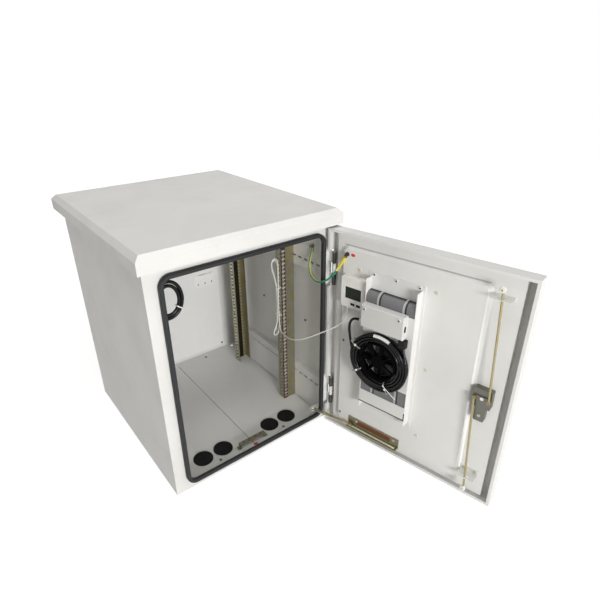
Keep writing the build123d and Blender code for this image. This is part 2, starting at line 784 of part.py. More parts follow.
def lock_case():
    """Cast case, wide behind the cam and narrow below it, bored for the spindle."""
    low, high = [LOCK_Z + end for end in LOCK_SPAN]
    step = LOCK_Z + LOCK_STEP
    depth = (LANDING_T, LOCK_TOP_T)
    case = door_slab((LOCK_S - LOCK_W / 2, LOCK_S + LOCK_W / 2), depth, (step, high))
    case += door_slab((LOCK_S - TONGUE_W / 2, LOCK_S + TONGUE_W / 2), depth, (low, step))
    case = fillet(case.edges().filter_by(Axis.Y), LOCK_EDGE)
    return case - door_round(LOCK_S, LOCK_Z, (LANDING_T + CUT, LOCK_TOP_T - CUT), SPINDLE_R + RUN_PLAY)


def handle_face():
    return DOOR_DEPTH + PLATE_T + HANDLE_GAP


def lock_cam():
    """Cam plate with two rod pins, on a spindle that runs through the door to the handle."""
    under = LOCK_TOP_T - CAM_PLAY
    over = under - CAM_T
    face = Pos(door_x(LOCK_S), LOCK_Z) * SlotCenterToCenter(2 * CAM_R, CAM_W)
    cam = Pos(0, door_y(under), 0) * extrude(Plane.XZ * face, -(door_y(over) - door_y(under)))
    cam += door_round(LOCK_S, LOCK_Z, (over, handle_face()), SPINDLE_R)
    for side in (-1, 1):
        cam += door_round(LOCK_S + side * CAM_R, LOCK_Z, (over, ROD_T - EYE_H / 2 - CAM_PLAY), CAM_PIN_R)
    return cam


def rod_ends(up):
    """Cam pin and roller of one rod, as places across and up the shut door."""
    side = 1 if up else -1
    return (LOCK_S + side * CAM_R, LOCK_Z), (LOCK_S, ROLLER_Z[1 if up else 0])


def lock_rod(up):
    """Round rod with an eye on the cam pin and an axle for its roller."""
    pin, tip = rod_ends(up)
    start = Vector(door_x(pin[0]), door_y(ROD_T), pin[1])
    run = Vector(door_x(tip[0]), door_y(ROD_T), tip[1]) - start
    bar = Plane(origin=start, z_dir=run) * Cylinder(ROD_R, run.length, align=(Align.CENTER, Align.CENTER, Align.MIN))
    depth = (ROD_T - EYE_H / 2, ROD_T + EYE_H / 2)
    bar += door_round(*pin, depth, EYE_R)
    bar += door_round(*tip, depth, EYE_R)
    outer = roller_depth()[1]
    bar += door_round(*tip, (depth[0], outer - AXLE_HEAD), AXLE_R)
    bar += door_round(*tip, (outer - CAM_PLAY, outer - AXLE_HEAD), AXLE_HEAD_R)
    return bar - door_round(*pin, (depth[0] - CUT, depth[1] + CUT), CAM_PIN_R + RUN_PLAY)


def roller_depth():
    near = ROD_T - EYE_H / 2 - CAM_PLAY
    return near, near - ROLLER_H


def lock_roller(up):
    """Grooved plastic wheel on the rod's axle."""
    _, tip = rod_ends(up)
    depth = roller_depth()
    wheel = door_round(*tip, depth, ROLLER_R)
    wheel = fillet(wheel.edges().filter_by(GeomType.CIRCLE), ROLLER_H / 5)
    return wheel - door_round(*tip, (depth[0] + CUT, depth[1] - CUT), AXLE_R + RUN_PLAY)


def guide_level(up):
    """Height of one guide's shelf, and the way that its plate runs from there."""
    end = 1 if up else 0
    side = -1 if up else 1
    return ROLLER_Z[end] + side * GUIDE_INSETS[end], side


def rod_guide(up):
    """Angle bracket whose shelf is slotted for the rod."""
    shelf_z, side = guide_level(up)
    s = (LOCK_S - GUIDE_W / 2, LOCK_S + GUIDE_W / 2)
    angle = door_slab(s, (LANDING_T, LANDING_T - GUIDE_T), (shelf_z, shelf_z + side * GUIDE_H))
    angle += door_slab(s, (LANDING_T, GUIDE_REACH), (shelf_z, shelf_z + side * GUIDE_T))
    width, depth = GUIDE_SLOT
    slot_s = (LOCK_S - width / 2, LOCK_S + width / 2)
    slot_t = (ROD_T - depth / 2, ROD_T + depth / 2)
    return angle - door_slab(slot_s, slot_t, (shelf_z - CUT, shelf_z + CUT))


def handle_plate():
    face = Pos(door_x(LOCK_S), LOCK_Z) * SlotOverall(PLATE_H, PLATE_W, 90)
    plate = Pos(0, door_y(DOOR_DEPTH), 0) * extrude(Plane.XZ * face, PLATE_T)
    return plate - door_round(LOCK_S, LOCK_Z, (DOOR_DEPTH - CUT, DOOR_DEPTH + PLATE_T + CUT), SPINDLE_R + RUN_PLAY)


def lock_handle():
    """Turn handle: a hub on the spindle and a tapered lever, level while the rods are drawn in."""
    near = handle_face()
    far = near + HANDLE_T + HANDLE_LIFT
    hub = door_round(LOCK_S, LOCK_Z, (near, far), HANDLE_HUB_R)
    x = door_x(LOCK_S)
    root = HANDLE_W / 2
    tip = HANDLE_TIP_W / 2
    outline = Polygon((x, LOCK_Z - root), (x + HANDLE_L, LOCK_Z - tip), (x + HANDLE_L, LOCK_Z + tip),
                      (x, LOCK_Z + root), align=None)
    lever = Pos(0, door_y(near + HANDLE_LIFT), 0) * extrude(Plane.XZ * outline, HANDLE_T)
    return fillet((hub + lever).edges().group_by(Axis.Y)[0], HANDLE_ROUND)


# Door stay


def track_slot():
    """Middle line and ends of the slot that the sliding bolt rides in."""
    middle = FIELD_T - TRACK_REACH / 2
    return middle, (TRACK_S[0] + TRACK_SLOT_END, TRACK_S[1] - TRACK_SLOT_END)


def stay_track():
    """Slotted angle on the inner panel, round-ended, that leads the stay's bolt."""
    shelf = door_slab(TRACK_S, (FIELD_T, FIELD_T - TRACK_REACH), (TRACK_Z - TRACK_T, TRACK_Z))
    corners = shelf.edges().filter_by(Axis.Z).group_by(Axis.Y)[-1]
    shelf = fillet(corners, TRACK_REACH / 3)
    shelf += door_slab(TRACK_S, (FIELD_T, FIELD_T - TRACK_T), (TRACK_Z - TRACK_T, TRACK_Z + TRACK_H - TRACK_T))
    middle, ends = track_slot()
    width = TRACK_SLOT_W / 2
    slot = door_slab(ends, (middle - width, middle + width), (TRACK_Z - TRACK_T - CUT, TRACK_Z + CUT))
    return shelf - slot


def bolt_place():
    """The bolt at its open end of the slot, as a place across and through the door."""
    middle, ends = track_slot()
    return ends[0] + BOLT_R + BOLT_PLAY, middle


def stay_bolt():
    """Shouldered bolt in the slot, its heads just clear of the shelf's two faces."""
    s, t = bolt_place()
    x, y = door_x(s), door_y(t)
    top = (TRACK_Z + SLIDE_PLAY, TRACK_Z + SLIDE_PLAY + BOLT_HEAD_H)
    low = (TRACK_Z - TRACK_T - SLIDE_PLAY - BOLT_HEAD_H, TRACK_Z - TRACK_T - SLIDE_PLAY)
    bolt = upright(x, y, (low[0], top[1]), BOLT_R - BOLT_PLAY)
    return bolt + upright(x, y, top, BOLT_HEAD_R) + upright(x, y, low, BOLT_HEAD_R)


def stay_level():
    low = TRACK_Z + BOLT_HEAD_H + 2 * SLIDE_PLAY
    return low, low + STAY_T


def stay_arm():
    """Flat arm from the pivot in the cabinet to a round end over the sliding bolt."""
    far = open_point(*bolt_place())
    pivot = (STAY_X, FRONT + STAY_Y)
    run = Vector(far[0] - pivot[0], far[1] - pivot[1])
    heading = math.degrees(math.atan2(run.Y, run.X))
    low, high = stay_level()
    face = Pos(run.length / 2, 0) * Rectangle(run.length, STAY_W)
    face += Circle(STAY_BOSS_R)
    face += Pos(run.length, 0) * Circle(BOLT_HEAD_R)
    face -= Circle(STAY_PIN_R + RUN_PLAY)
    return Pos(*pivot, low) * Rot(0, 0, heading) * extrude(face, high - low)


def stay_bracket():
    """Angle behind the front frame with the stay's pivot pin on its shelf."""
    length, reach = STAY_SHELF
    x = (SIDE - LEAF_EDGE - length, SIDE - LEAF_EDGE)
    rear = FRONT + SHEET
    low, high = stay_level()
    top = low - SLIDE_PLAY
    shelf = slab((STAY_X - STAY_BOSS_R, x[1]), (rear, rear + reach), (top - STAY_SHELF_T, top))
    shelf += slab((SEAL_W / 2, x[1]), (rear, rear + STAY_SHELF_T), (top - STAY_FLANGE_H, top))
    shelf += upright(STAY_X, FRONT + STAY_Y, (top, high + SLIDE_PLAY), STAY_PIN_R)
    return shelf + upright(STAY_X, FRONT + STAY_Y, (high + SLIDE_PLAY, high + STAY_T), STAY_BOSS_R - STAY_PIN_R / 2)


# Controller


def controller_housing():
    """Moulded case with a recess for the screen and two button wells."""
    case = door_slab(CONTROL_S, (FIELD_T, CONTROL_FRONT), CONTROL_Z)
    case = fillet(case.edges().filter_by(Axis.Y), CONTROL_ROUND)
    case = fillet(case.faces().sort_by(Axis.Y)[-1].edges(), CONTROL_ROUND / 3)
    case -= door_slab(SCREEN_S, (CONTROL_FRONT + SCREEN_DEPTH, CONTROL_FRONT - CUT), SCREEN_Z)
    for s in BUTTON_S:
        depth = BUTTON_BODY + BUTTON_TRAVEL + BUTTON_FLOOR
        case -= button_block(s, BUTTON_PLAY, (CONTROL_FRONT + depth, CONTROL_FRONT - CUT))
    return case


def button_block(s, grow, t):
    half_s = BUTTON_SIZE[0] / 2 + grow
    half_z = BUTTON_SIZE[1] / 2 + grow
    return door_slab((s - half_s, s + half_s), t, (BUTTON_Z - half_z, BUTTON_Z + half_z))


def control_button(s):
    button = button_block(s, 0, (CONTROL_FRONT + BUTTON_BODY, CONTROL_FRONT - BUTTON_PROUD))
    return fillet(button.faces().sort_by(Axis.Y)[-1].edges(), BUTTON_PROUD / 3)


def controller_screen():
    seat = CONTROL_FRONT + SCREEN_DEPTH
    return door_slab(SCREEN_S, (seat, seat - SCREEN_T), SCREEN_Z)


# Heat exchanger on the door


def exchanger_frame():
    """Folded frame: a flanged back, two side walls, a cover with a fan hole, and a tray with a front guard."""
    frame = door_slab(UNIT_S, (FIELD_T, UNIT_BASE), UNIT_Z)
    walls = (UNIT_S[0] + UNIT_WALL_INSET, UNIT_S[1] - UNIT_WALL_INSET)
    front = (UNIT_WALL_T + SHEET, UNIT_WALL_T)
    for edge, sign in zip(walls, (1, -1)):
        frame += door_slab((edge, edge + sign * SHEET), (UNIT_BASE, UNIT_WALL_T), UNIT_WALL_Z)
    cover = door_slab(walls, front, COVER_Z)
    cover -= door_round(FAN_S, FAN_Z, (front[0] + CUT, front[1] - CUT), FAN_R - 2 * FAN_WALL)
    frame += cover
    frame += door_slab(walls, (UNIT_BASE, UNIT_WALL_T), (TRAY_Z[0], TRAY_Z[0] + SHEET))
    return frame + door_slab(walls, front, TRAY_Z)


def core_profile(grow):
    """Side view of the core as seen along its width: flat back, rounded head and foot."""
    low, high = CORE_Z[0] - grow, CORE_Z[1] + grow
    back, front = door_y(UNIT_BASE), door_y(CORE_T) + grow
    outline = Pos((back + front) / 2, (low + high) / 2) * Rectangle(abs(front - back), high - low)
    nose = outline.vertices().group_by(Axis.X)[-1]
    return fillet(nose, CORE_ROUND)


def across_core(profile, s):
    x = sorted(door_x(v) for v in s)
    return Pos(x[0], 0, 0) * extrude(Plane.YZ * profile, x[1] - x[0])


def exchanger_core():
    """Block of air passages with a rounded head and foot."""
    inset = UNIT_WALL_INSET + SHEET + CORE_PLAY
    return across_core(core_profile(0), (UNIT_S[0] + inset, UNIT_S[1] - inset))


def core_straps():
    """Thin bands round the core, from the back over its head, front and foot."""
    bands = []
    for s in STRAP_S:
        span = (s - STRAP_W / 2, s + STRAP_W / 2)
        bands.append(across_core(core_profile(STRAP_T), span) - across_core(core_profile(0), span))
    return bands


def control_box():
    """Folded box on the unit's cover, with a cable slot in its side and a gland on the other."""
    box = door_slab(BOX_S, (UNIT_WALL_T, BOX_T), BOX_Z)
    box = fillet(box.faces().sort_by(Axis.Y)[-1].edges(), BOX_ROUND)
    width, height = BOX_SLOT
    edge = (BOX_S[1] - BOX_SLOT_DEPTH, BOX_S[1] + CUT)
    box -= door_slab(edge, (BOX_SLOT_T - width / 2, BOX_SLOT_T + width / 2),
                     (BOX_SLOT_Z - height / 2, BOX_SLOT_Z + height / 2))
    x = door_x(BOX_S[0])
    return box + side_round((x, x + GLAND_L), door_y(GLAND_T), GLAND_Z, GLAND_R)


def fan_housing():
    """Open fan barrel with a back plate, four arms' worth of air slots and a fixed axle."""
    seat = UNIT_WALL_T
    barrel = door_round(FAN_S, FAN_Z, (seat, FAN_T), FAN_R)
    barrel -= door_round(FAN_S, FAN_Z, (seat - FAN_BACK, FAN_T - CUT), FAN_R - FAN_WALL)
    throat = door_round(FAN_S, FAN_Z, (seat + CUT, seat - FAN_BACK - CUT), FAN_R - 2 * FAN_WALL)
    throat -= door_round(FAN_S, FAN_Z, (seat + CUT, seat - FAN_BACK - CUT), FAN_HUB_R)
    reach = (FAN_S - FAN_R, FAN_S + FAN_R)
    depth = (seat + CUT, seat - FAN_BACK - CUT)
    throat -= door_slab(reach, depth, (FAN_Z - FAN_ARM_W / 2, FAN_Z + FAN_ARM_W / 2))
    throat -= door_slab((FAN_S - FAN_ARM_W / 2, FAN_S + FAN_ARM_W / 2), depth, (FAN_Z - FAN_R, FAN_Z + FAN_R))
    barrel -= throat
    return barrel + door_round(FAN_S, FAN_Z, (seat - FAN_BACK, FAN_T + 2 * FAN_BACK + CAM_PLAY), FAN_BORE_R)


def fan_rotor():
    """Hub with pitched blades, running on the fixed axle."""
    seat = UNIT_WALL_T
    depth = (seat - FAN_BACK - CAM_PLAY, FAN_T + FAN_BACK)
    middle = (depth[0] + depth[1]) / 2
    hub = door_round(FAN_S, FAN_Z, depth, FAN_HUB_R)
    reach = FAN_R - FAN_WALL - FAN_TIP_PLAY
    chord = abs(depth[1] - depth[0]) - BLADE_T
    span = reach - FAN_HUB_R / 2
    centre = Pos(door_x(FAN_S), door_y(middle), FAN_Z)
    disc = door_round(FAN_S, FAN_Z, depth, reach)
    for step in range(FAN_BLADES):
        blade = Pos(FAN_HUB_R / 2 + span / 2, 0, 0) * Rot(90 - BLADE_PITCH, 0, 0) * Box(span, BLADE_T, chord)
        hub += (centre * Rot(0, step * 360 / FAN_BLADES, 0) * blade) & disc
    return hub - door_round(FAN_S, FAN_Z, (depth[0] + CUT, FAN_T + 2 * FAN_BACK), FAN_BORE_R + RUN_PLAY)


# Cords and what is on them


def power_coil():
    """Outer shape of the coiled lead: a thick round-edged ring."""
    ring = door_round(FAN_S, COIL_Z, COIL_T, COIL_R + COIL_W)
    ring -= door_round(FAN_S, COIL_Z, (COIL_T[0] + CUT, COIL_T[1] - CUT), COIL_R)
    return fillet(ring.edges().filter_by(GeomType.CIRCLE), COIL_ROUND)


def power_lead():
    points = [(door_x(s), door_y(t), BOX_Z[0] + rise) for s, t, rise in LEAD_ROUTE]
    return tube_along(points, LEAD_R)


def lead_connector():
    body = door_slab(CONNECTOR_S, CONNECTOR_T, CONNECTOR_Z)
    return fillet(body.edges().filter_by(Axis.Z), CONNECTOR_ROUND)


def earth_wire():
    return tube_along([(SIDE - inset, FRONT + y, BODY_H - drop) for inset, y, drop in EARTH_ROUTE], WIRE_R)


def sensor_lead():
    foot = CONTROL_Z[0]
    return tube_along([(SIDE - inset, FRONT + y, foot + rise) for inset, y, rise in SENSOR_ROUTE], SENSOR_R)


def sensor_hank():
    """Outer shape of the folded lead tied beside the rail: a round-ended bar."""
    low, high = HANK_Z
    hank = upright(HANK_X, FRONT + HANK_Y, (low + HANK_R, high - HANK_R), HANK_R)
    for end in (low + HANK_R, high - HANK_R):
        hank += Pos(HANK_X, FRONT + HANK_Y, end) * Sphere(HANK_R)
    return hank


def spare_loop():
    """Outer shape of the tied cable: a long round-cornered loop of one thickness."""
    tall = LOOP_R + LOOP_RUN / 2
    y = FRONT + LOOP_Y
    corners = []
    for across, up in ((-1, -1), (1, -1), (1, 1), (-1, 1)):
        corners.append((across * LOOP_R - LOOP_X, y, LOOP_Z + up * tall))
    path = FilletPolyline(*corners, radius=LOOP_BEND_SHARE * LOOP_R, close=True)
    return sweep(Plane(origin=path @ 0, z_dir=path % 0) * Circle(LOOP_TUBE_R), path)


def loop_clip():
    """Band round the loop's outer run, on a pad against the bearer."""
    x = -LOOP_X - LOOP_R
    y = FRONT + LOOP_Y
    z = (LOOP_Z - CLIP_H / 2, LOOP_Z + CLIP_H / 2)
    outer = LOOP_TUBE_R + CLIP_WALL
    clip = upright(x, y, z, outer) + slab((-BEARER_X, x), (y - outer / 2, y + outer / 2), z)
    return clip - upright(x, y, (z[0] - CUT, z[1] + CUT), LOOP_TUBE_R)


# Small fixings on the door


def door_fixings():
    """Nuts of the inner panel, screws of flange, guides, lock, box and track, and the earth stud."""
    pieces = []
    for s, level in FIELD_NUTS:
        pieces.append(door_round(s, LIFT_SHARE * level, (FIELD_T, FIELD_T - SCREW_H), SCREW_R))
    for s, level in FLANGE_SCREWS:
        pieces.append(door_round(s, LIFT_SHARE * level, (UNIT_BASE, UNIT_BASE - SCREW_H), SCREW_R))
    pieces.append(door_round(LOCK_S, LOCK_Z + TONGUE_SCREW, (LOCK_TOP_T, LOCK_TOP_T - SCREW_H), SCREW_R))
    for up in (False, True):
        shelf_z, side = guide_level(up)
        z = shelf_z + side * (GUIDE_T + GUIDE_H) / 2
        for end in (-1, 1):
            s = LOCK_S + end * (GUIDE_W / 2 - 2 * SCREW_R)
            seat = LANDING_T - GUIDE_T
            pieces.append(door_round(s, z, (seat, seat - SCREW_H), SCREW_R))
    for s in (BOX_S[0] + BOX_ROUND * 4, BOX_S[1] - BOX_ROUND * 5):
        pieces.append(door_round(s, BOX_Z[1] - BOX_ROUND * 4, (BOX_T, BOX_T - SCREW_H), SCREW_R))
    for s in (TRACK_S[0] + TRACK_H, TRACK_S[1] - TRACK_H / 2):
        seat = FIELD_T - TRACK_T
        pieces.append(door_round(s, TRACK_Z + TRACK_H * 2 / 3, (seat, seat - SCREW_H), SCREW_R))
    stud = (DOOR_STUD_S, DOOR_STUD_Z)
    pieces.append(door_round(*stud, (FIELD_T, FIELD_T - STUD_L), STUD_R))
    lug_t = (FIELD_T, FIELD_T - LUG_T)
    lug = door_round(*stud, lug_t, LUG_R)
    lug += door_slab((DOOR_STUD_S - STUD_R, DOOR_STUD_S + STUD_R), lug_t, (DOOR_STUD_Z - LUG_L, DOOR_STUD_Z))
    lug -= door_round(*stud, (FIELD_T + CUT, FIELD_T - STUD_L - CUT), STUD_R)
    pieces.append(lug.rotate(Axis((door_x(DOOR_STUD_S), 0, DOOR_STUD_Z), (0, 1, 0)), DOOR_LUG_TURN))
    nut = door_round(*stud, (FIELD_T - LUG_T, FIELD_T - LUG_T - NUT_H), NUT_R)
    pieces.append(nut - door_round(*stud, (FIELD_T, FIELD_T - STUD_L), STUD_R))
    return pieces


# Assembly


def add(name, *shapes):
    PIECES[name] = Compound(children=list(shapes)) if len(shapes) > 1 else shapes[0]


def add_on_door(name, *shapes):
    add(name, *[turned_open(shape) for shape in shapes])


def add_cabinet():
    add("base_frame", base_frame())
    add("cable_grommets", *[grommet(side * x) for side in SIDES.values() for x in GROMMET_X])
    add("back_wall", back_wall())
    add("top_panel", top_panel())
    add("front_frame", front_frame())
    add("door_seal", door_seal())
    add("roof_cover", roof_cover())
    for name, side in SIDES.items():
        add(f"{name}_wall", side_wall(side))
        add(f"{name}_floor_plate", floor_plate(side))
        add(f"{name}_front_rail", rack_rail(side, FRONT + FRONT_RAIL_Y, 1))
        add(f"{name}_rear_rail", rack_rail(side, FRONT + REAR_RAIL_Y, -1))
        add(f"{name}_lower_bearer", bearer(side, LOWER_BEARER_Z, SLOT_LINE_SHARE))
        add(f"{name}_upper_bearer", bearer(side, UPPER_BEARER_Z, 1 - SLOT_LINE_SHARE))
    add("back_liner", back_liner())
    add("back_bracket", back_bracket())
    add("earth_bar", earth_bar())
    add("cabinet_fixings", *cabinet_fixings(), loop_clip())
    add("frame_hinge_leaves", *[frame_leaf(z) for z in HINGE_Z])
    add("hinge_pins", *[hinge_pin(z) for z in HINGE_Z])
    add("stay_bracket", stay_bracket())
    add("stay_arm", stay_arm())
    add("earth_wire", earth_wire())
    add("sensor_lead", sensor_lead())
    add("sensor_hank", sensor_hank())
    add("spare_loop", spare_loop())


def add_door():
    add_on_door("door_shell", door_shell())
    add_on_door("door_panel", door_panel())
    add_on_door("door_hinge_leaves", *[door_leaf(z) for z in HINGE_Z])
    add_on_door("door_fixings", *door_fixings())
    add_on_door("stay_track", stay_track())
    add_on_door("stay_bolt", stay_bolt())
    add_on_door("lock_case", lock_case())
    add_on_door("lock_cam", lock_cam())
    add_on_door("lock_handle", lock_handle())
    add_on_door("handle_plate", handle_plate())
    for name, up in (("upper", True), ("lower", False)):
        add_on_door(f"{name}_lock_rod", lock_rod(up))
        add_on_door(f"{name}_rod_roller", lock_roller(up))
        add_on_door(f"{name}_rod_guide", rod_guide(up))
    add_on_door("controller_housing", controller_housing())
    add_on_door("controller_screen", controller_screen())
    for name, s in zip(("left", "right"), BUTTON_S):
        add_on_door(f"{name}_button", control_button(s))
    add_on_door("exchanger_frame", exchanger_frame())
    add_on_door("exchanger_core", exchanger_core())
    add_on_door("core_straps", *core_straps())
    add_on_door("control_box", control_box())
    add_on_door("fan_housing", fan_housing())
    add_on_door("fan_rotor", fan_rotor())
    add_on_door("power_coil", power_coil())
    add_on_door("power_lead", power_lead())
    add_on_door("lead_connector", lead_connector())


add_cabinet()
add_door()
for name, shape in PIECES.items():
    export_step(shape, f"parts/{name}.step")
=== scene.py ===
import math
from functools import reduce

import bpy
import numpy as np
from mathutils import Matrix, Vector

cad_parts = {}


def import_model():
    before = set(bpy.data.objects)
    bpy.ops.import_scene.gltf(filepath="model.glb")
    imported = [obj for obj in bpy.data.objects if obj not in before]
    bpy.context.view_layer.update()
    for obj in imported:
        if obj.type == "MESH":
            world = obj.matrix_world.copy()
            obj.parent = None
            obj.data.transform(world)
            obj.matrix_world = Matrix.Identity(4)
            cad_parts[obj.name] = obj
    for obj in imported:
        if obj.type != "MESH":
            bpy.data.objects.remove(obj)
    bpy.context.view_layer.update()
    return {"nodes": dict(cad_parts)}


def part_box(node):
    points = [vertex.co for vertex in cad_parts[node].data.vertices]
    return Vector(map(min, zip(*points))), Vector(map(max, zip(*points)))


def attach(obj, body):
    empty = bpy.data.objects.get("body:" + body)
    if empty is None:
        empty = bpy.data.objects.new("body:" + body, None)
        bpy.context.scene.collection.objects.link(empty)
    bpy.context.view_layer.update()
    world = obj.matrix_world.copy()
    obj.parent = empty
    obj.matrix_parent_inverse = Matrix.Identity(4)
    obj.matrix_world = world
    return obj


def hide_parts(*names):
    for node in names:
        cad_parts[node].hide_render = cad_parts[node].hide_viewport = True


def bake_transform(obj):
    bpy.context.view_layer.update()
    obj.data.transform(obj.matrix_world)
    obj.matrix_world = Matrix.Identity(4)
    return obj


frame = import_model()
NODES = frame["nodes"]

# The frame is in metres: origin at the middle of the base, +X right, +Y back, +Z up.
MM = 0.001
FRONT = -325
DOOR_W = 600
DOOR_GAP = 5
HINGE = (290, -350)
DOOR_OPEN = math.radians(101.5)
X_AXIS = np.array((1.0, 0, 0))
Y_AXIS = np.array((0, 1.0, 0))
Z_AXIS = np.array((0, 0, 1.0))

# Factors that flatten one axis away
LEVEL_PLANE = (1.0, 1.0, 0.0)
UPRIGHT_PLANE = (1.0, 0.0, 1.0)

# Camera
CAMERA_AT = (-643.976, FRONT - 1039.392, 1175.319)
CAMERA_YAW = math.radians(38.213)
CAMERA_PITCH = math.radians(-26.731)
CAMERA_ROLL = math.radians(-0.338)
CAMERA_LENS = 28.82
CAMERA_SENSOR = 36
CAMERA_CLIP = (0.05, 60)

# Lights: place, size and power
KEY_LIGHT = ((-640, -3570, 980), 900, 77)
TOP_LIGHT = ((0, -700, 3800), 2400, 44)
LIGHT_TARGET = (0, -200, 350)
LIGHT_COLOUR = (1.0, 0.995, 0.985)
WORLD_COLOUR = (1.0, 0.98, 0.93)
WORLD_STRENGTH = 0.30
BACKDROP_COLOUR = (1.0, 1.0, 1.0, 1)
FLOOR_SIZE = 12000
FLOOR_POINTS = 9
FLOOR_COLOUR = (0.62, 0.61, 0.58)
FLOOR_ROUGH = 0.85
FLOOR_SHADOW_SHARE = 0.28
FLOOR_GLOW = (0.86, 1.0)
FLOOR_GLOW_REACH = (0.9, 2.2)

# Cords, in millimetres: routes in the cabinet are x, distance behind the front and height; those on the door
# are s, t and z
EARTH_ROUTE = (
    (272.1, 62, 638), (272.1, 62, 620), (261, 61, 595), (251, 47, 572), (246, 31, 557), (243, 3, 549),
    (246, -22, 557), (255, -44, 574), (264.1, -58.3, 598), (272.9, -66.2, 616), (276.81, -75.08, 633.75),
    (278.93, -85.52, 653),
)
EARTH_R = 3
EARTH_SLEEVE_R = (3.4, 5.6)
EARTH_SLEEVE_LOW = 603
SENSOR_ROUTE = (
    (277.5, -104, 498), (277.5, -104, 478), (276, -101, 458), (271, -92, 437), (261, -73, 416),
    (248, -48, 396), (234, -20, 375), (221, 10, 353), (211, 42, 332), (206, 76, 317), (207, 108, 308),
    (211, 136, 305), (215.4, 164, 308),
)
SENSOR_R = 2
SENSOR_BLEND = (1, 8)
SENSOR_TIP_R = 2.8
SENSOR_TIP_L = 24
SENSOR_TIP_END = 0.1
HANK_ROUTE = (
    (216.5, 169, 320), (213.5, 168.5, 345), (212, 167.5, 390), (212, 168, 440), (212.5, 167.5, 490),
    (213.5, 168, 530), (214.5, 168.5, 556), (213.5, 169.5, 574), (207.5, 170.5, 584), (198, 171.5, 584),
    (191.5, 172.5, 574), (192, 173.5, 556), (198, 174.5, 534), (206, 175.5, 508), (211, 175.5, 480),
    (212.5, 174.5, 440), (212, 175, 390), (211.5, 175.5, 355), (207.5, 175.5, 335), (200.5, 176.5, 318),
    (195, 177.5, 304), (196.5, 178.5, 293), (204.5, 179.5, 288), (213, 180, 290.5), (218.5, 180, 300),
    (219.5, 180, 320), (219.5, 179, 350), (219.5, 178.5, 400), (219, 178.5, 450), (219, 178, 500),
    (219.5, 178.5, 530), (219.5, 179.5, 550), (217.5, 181, 566), (211, 182.5, 574), (203.5, 183.5, 573),
    (198, 184.5, 563), (199, 185, 546), (204.5, 184.5, 524), (210.5, 183.5, 500), (213.5, 182.5, 465),
    (213.5, 182, 420), (213.5, 182.5, 375), (212.5, 183.5, 345), (210.5, 185, 322), (209, 186, 304),
)
HANK_TIES = ((215.8, 174.8, 478), (215.8, 174.8, 372))
HANK_TIE_HALF = (7.4, 11)
LEAD_ROUTE = (
    (153, -39, 485.5), (139, -39, 485.5), (126.5, -39.3, 479.5), (118.5, -39.6, 468), (116, -40, 452.5),
    (117, -40, 436), (119.5, -39.5, 419), (122, -38.5, 403), (125, -36.5, 387),
)
LEAD_R = 4
COIL_MIDDLE = (224, 368)
COIL_RADII = (97, 69.8)
COIL_DEPTHS = (-33.6, -46.5)
COIL_LAYER_TURNS = 3
COIL_CROSS_TURNS = 0.4
COIL_END_TURNS = 0.15
COIL_START = 0.02
COIL_POINTS = 20
COIL_WAVER = (0.7, 1.6)
COIL_WAVER_PHASE = 0.6
COIL_WAVER_DRIFT = 1.7
COIL_LOOSE = (0.4, 1.0)
COIL_END = ((312, -45, 412), (305, -42, 430), (299.5, -40, 442), (297.5, -40, 450))
COIL_LABEL = (5.685, 5.775)
LABEL_R = 4.95
COIL_TIE_ANGLES = (154, 217, 296)
COIL_TIE_HALF = (19.4, 12)
COIL_TIE_DEPTH = -41.1
TIE_TAIL = ((252, -54.4, 303), (266, -57, 297), (282, -57, 286), (297, -52, 271))
LOOP_MIDDLE = (-224, 50, 616)
LOOP_HALF = (47, 59)
LOOP_TURNS = 1.88
LOOP_POINTS = 16
LOOP_R = 4.9
LOOP_STEP = 10.6
LOOP_WAVER = 1.5
LOOP_TIE_PLACE = 0.4
LOOP_TIE_HALF = (10.9, 6.6)
STRIPE_EDGE = 0.91

# Fineness of curves and tubes
CURVE_STEPS = 8
BEVEL_STEPS = 4
TUBE_SIDES = 14
GUIDE_LIMIT = 0.85

# Cable ties
TIE_W = 2.8
TIE_T = 0.9
TIE_SQUARE = 5
TIE_STEPS = 40
TIE_HEAD = (3.2, 2.6, 3.2)

# Rounded blocks, for tie heads and the slot's edging
BLOCK_SQUARE = 4
BLOCK_STEPS = (13, 24)

# Marks stuck on: place and half sizes, then the thickness and form of both
DOOR_MARK = (90, 2, 660.5)
DOOR_MARK_HALF = (7.5, 5)
FLOOR_MARK = (4, 30, 3.5)
FLOOR_MARK_HALF = (8, 6)
MARK_T = 0.5
MARK_POWER = 6
MARK_CENTRE = 0.02
MARK_STEPS = (9, 36)

# Colours, as linear red, green and blue
COAT = (0.79, 0.79, 0.775)
COAT_ROOF = (0.79, 0.785, 0.77)
COAT_DOOR = (0.79, 0.79, 0.775)
# Back bracket: the same coat made brighter, painted light
COAT_LIT = (0.94, 0.94, 0.94)
# Back liner: partly its own whiter coat, partly painted light
COAT_LINER_WHITE_AND_LIT = (0.89, 0.89, 0.885)
# Control box: the same coat made darker, painted shade
COAT_BOX_SHADE = (0.68, 0.68, 0.665)
# Exchanger frame: the same coat made darker, painted shade
COAT_UNIT_SHADE = (0.75, 0.75, 0.735)
# Painted shade for the crease at the foot of the door panel's top slope
CREASE_SHADE = (0.47, 0.47, 0.455)
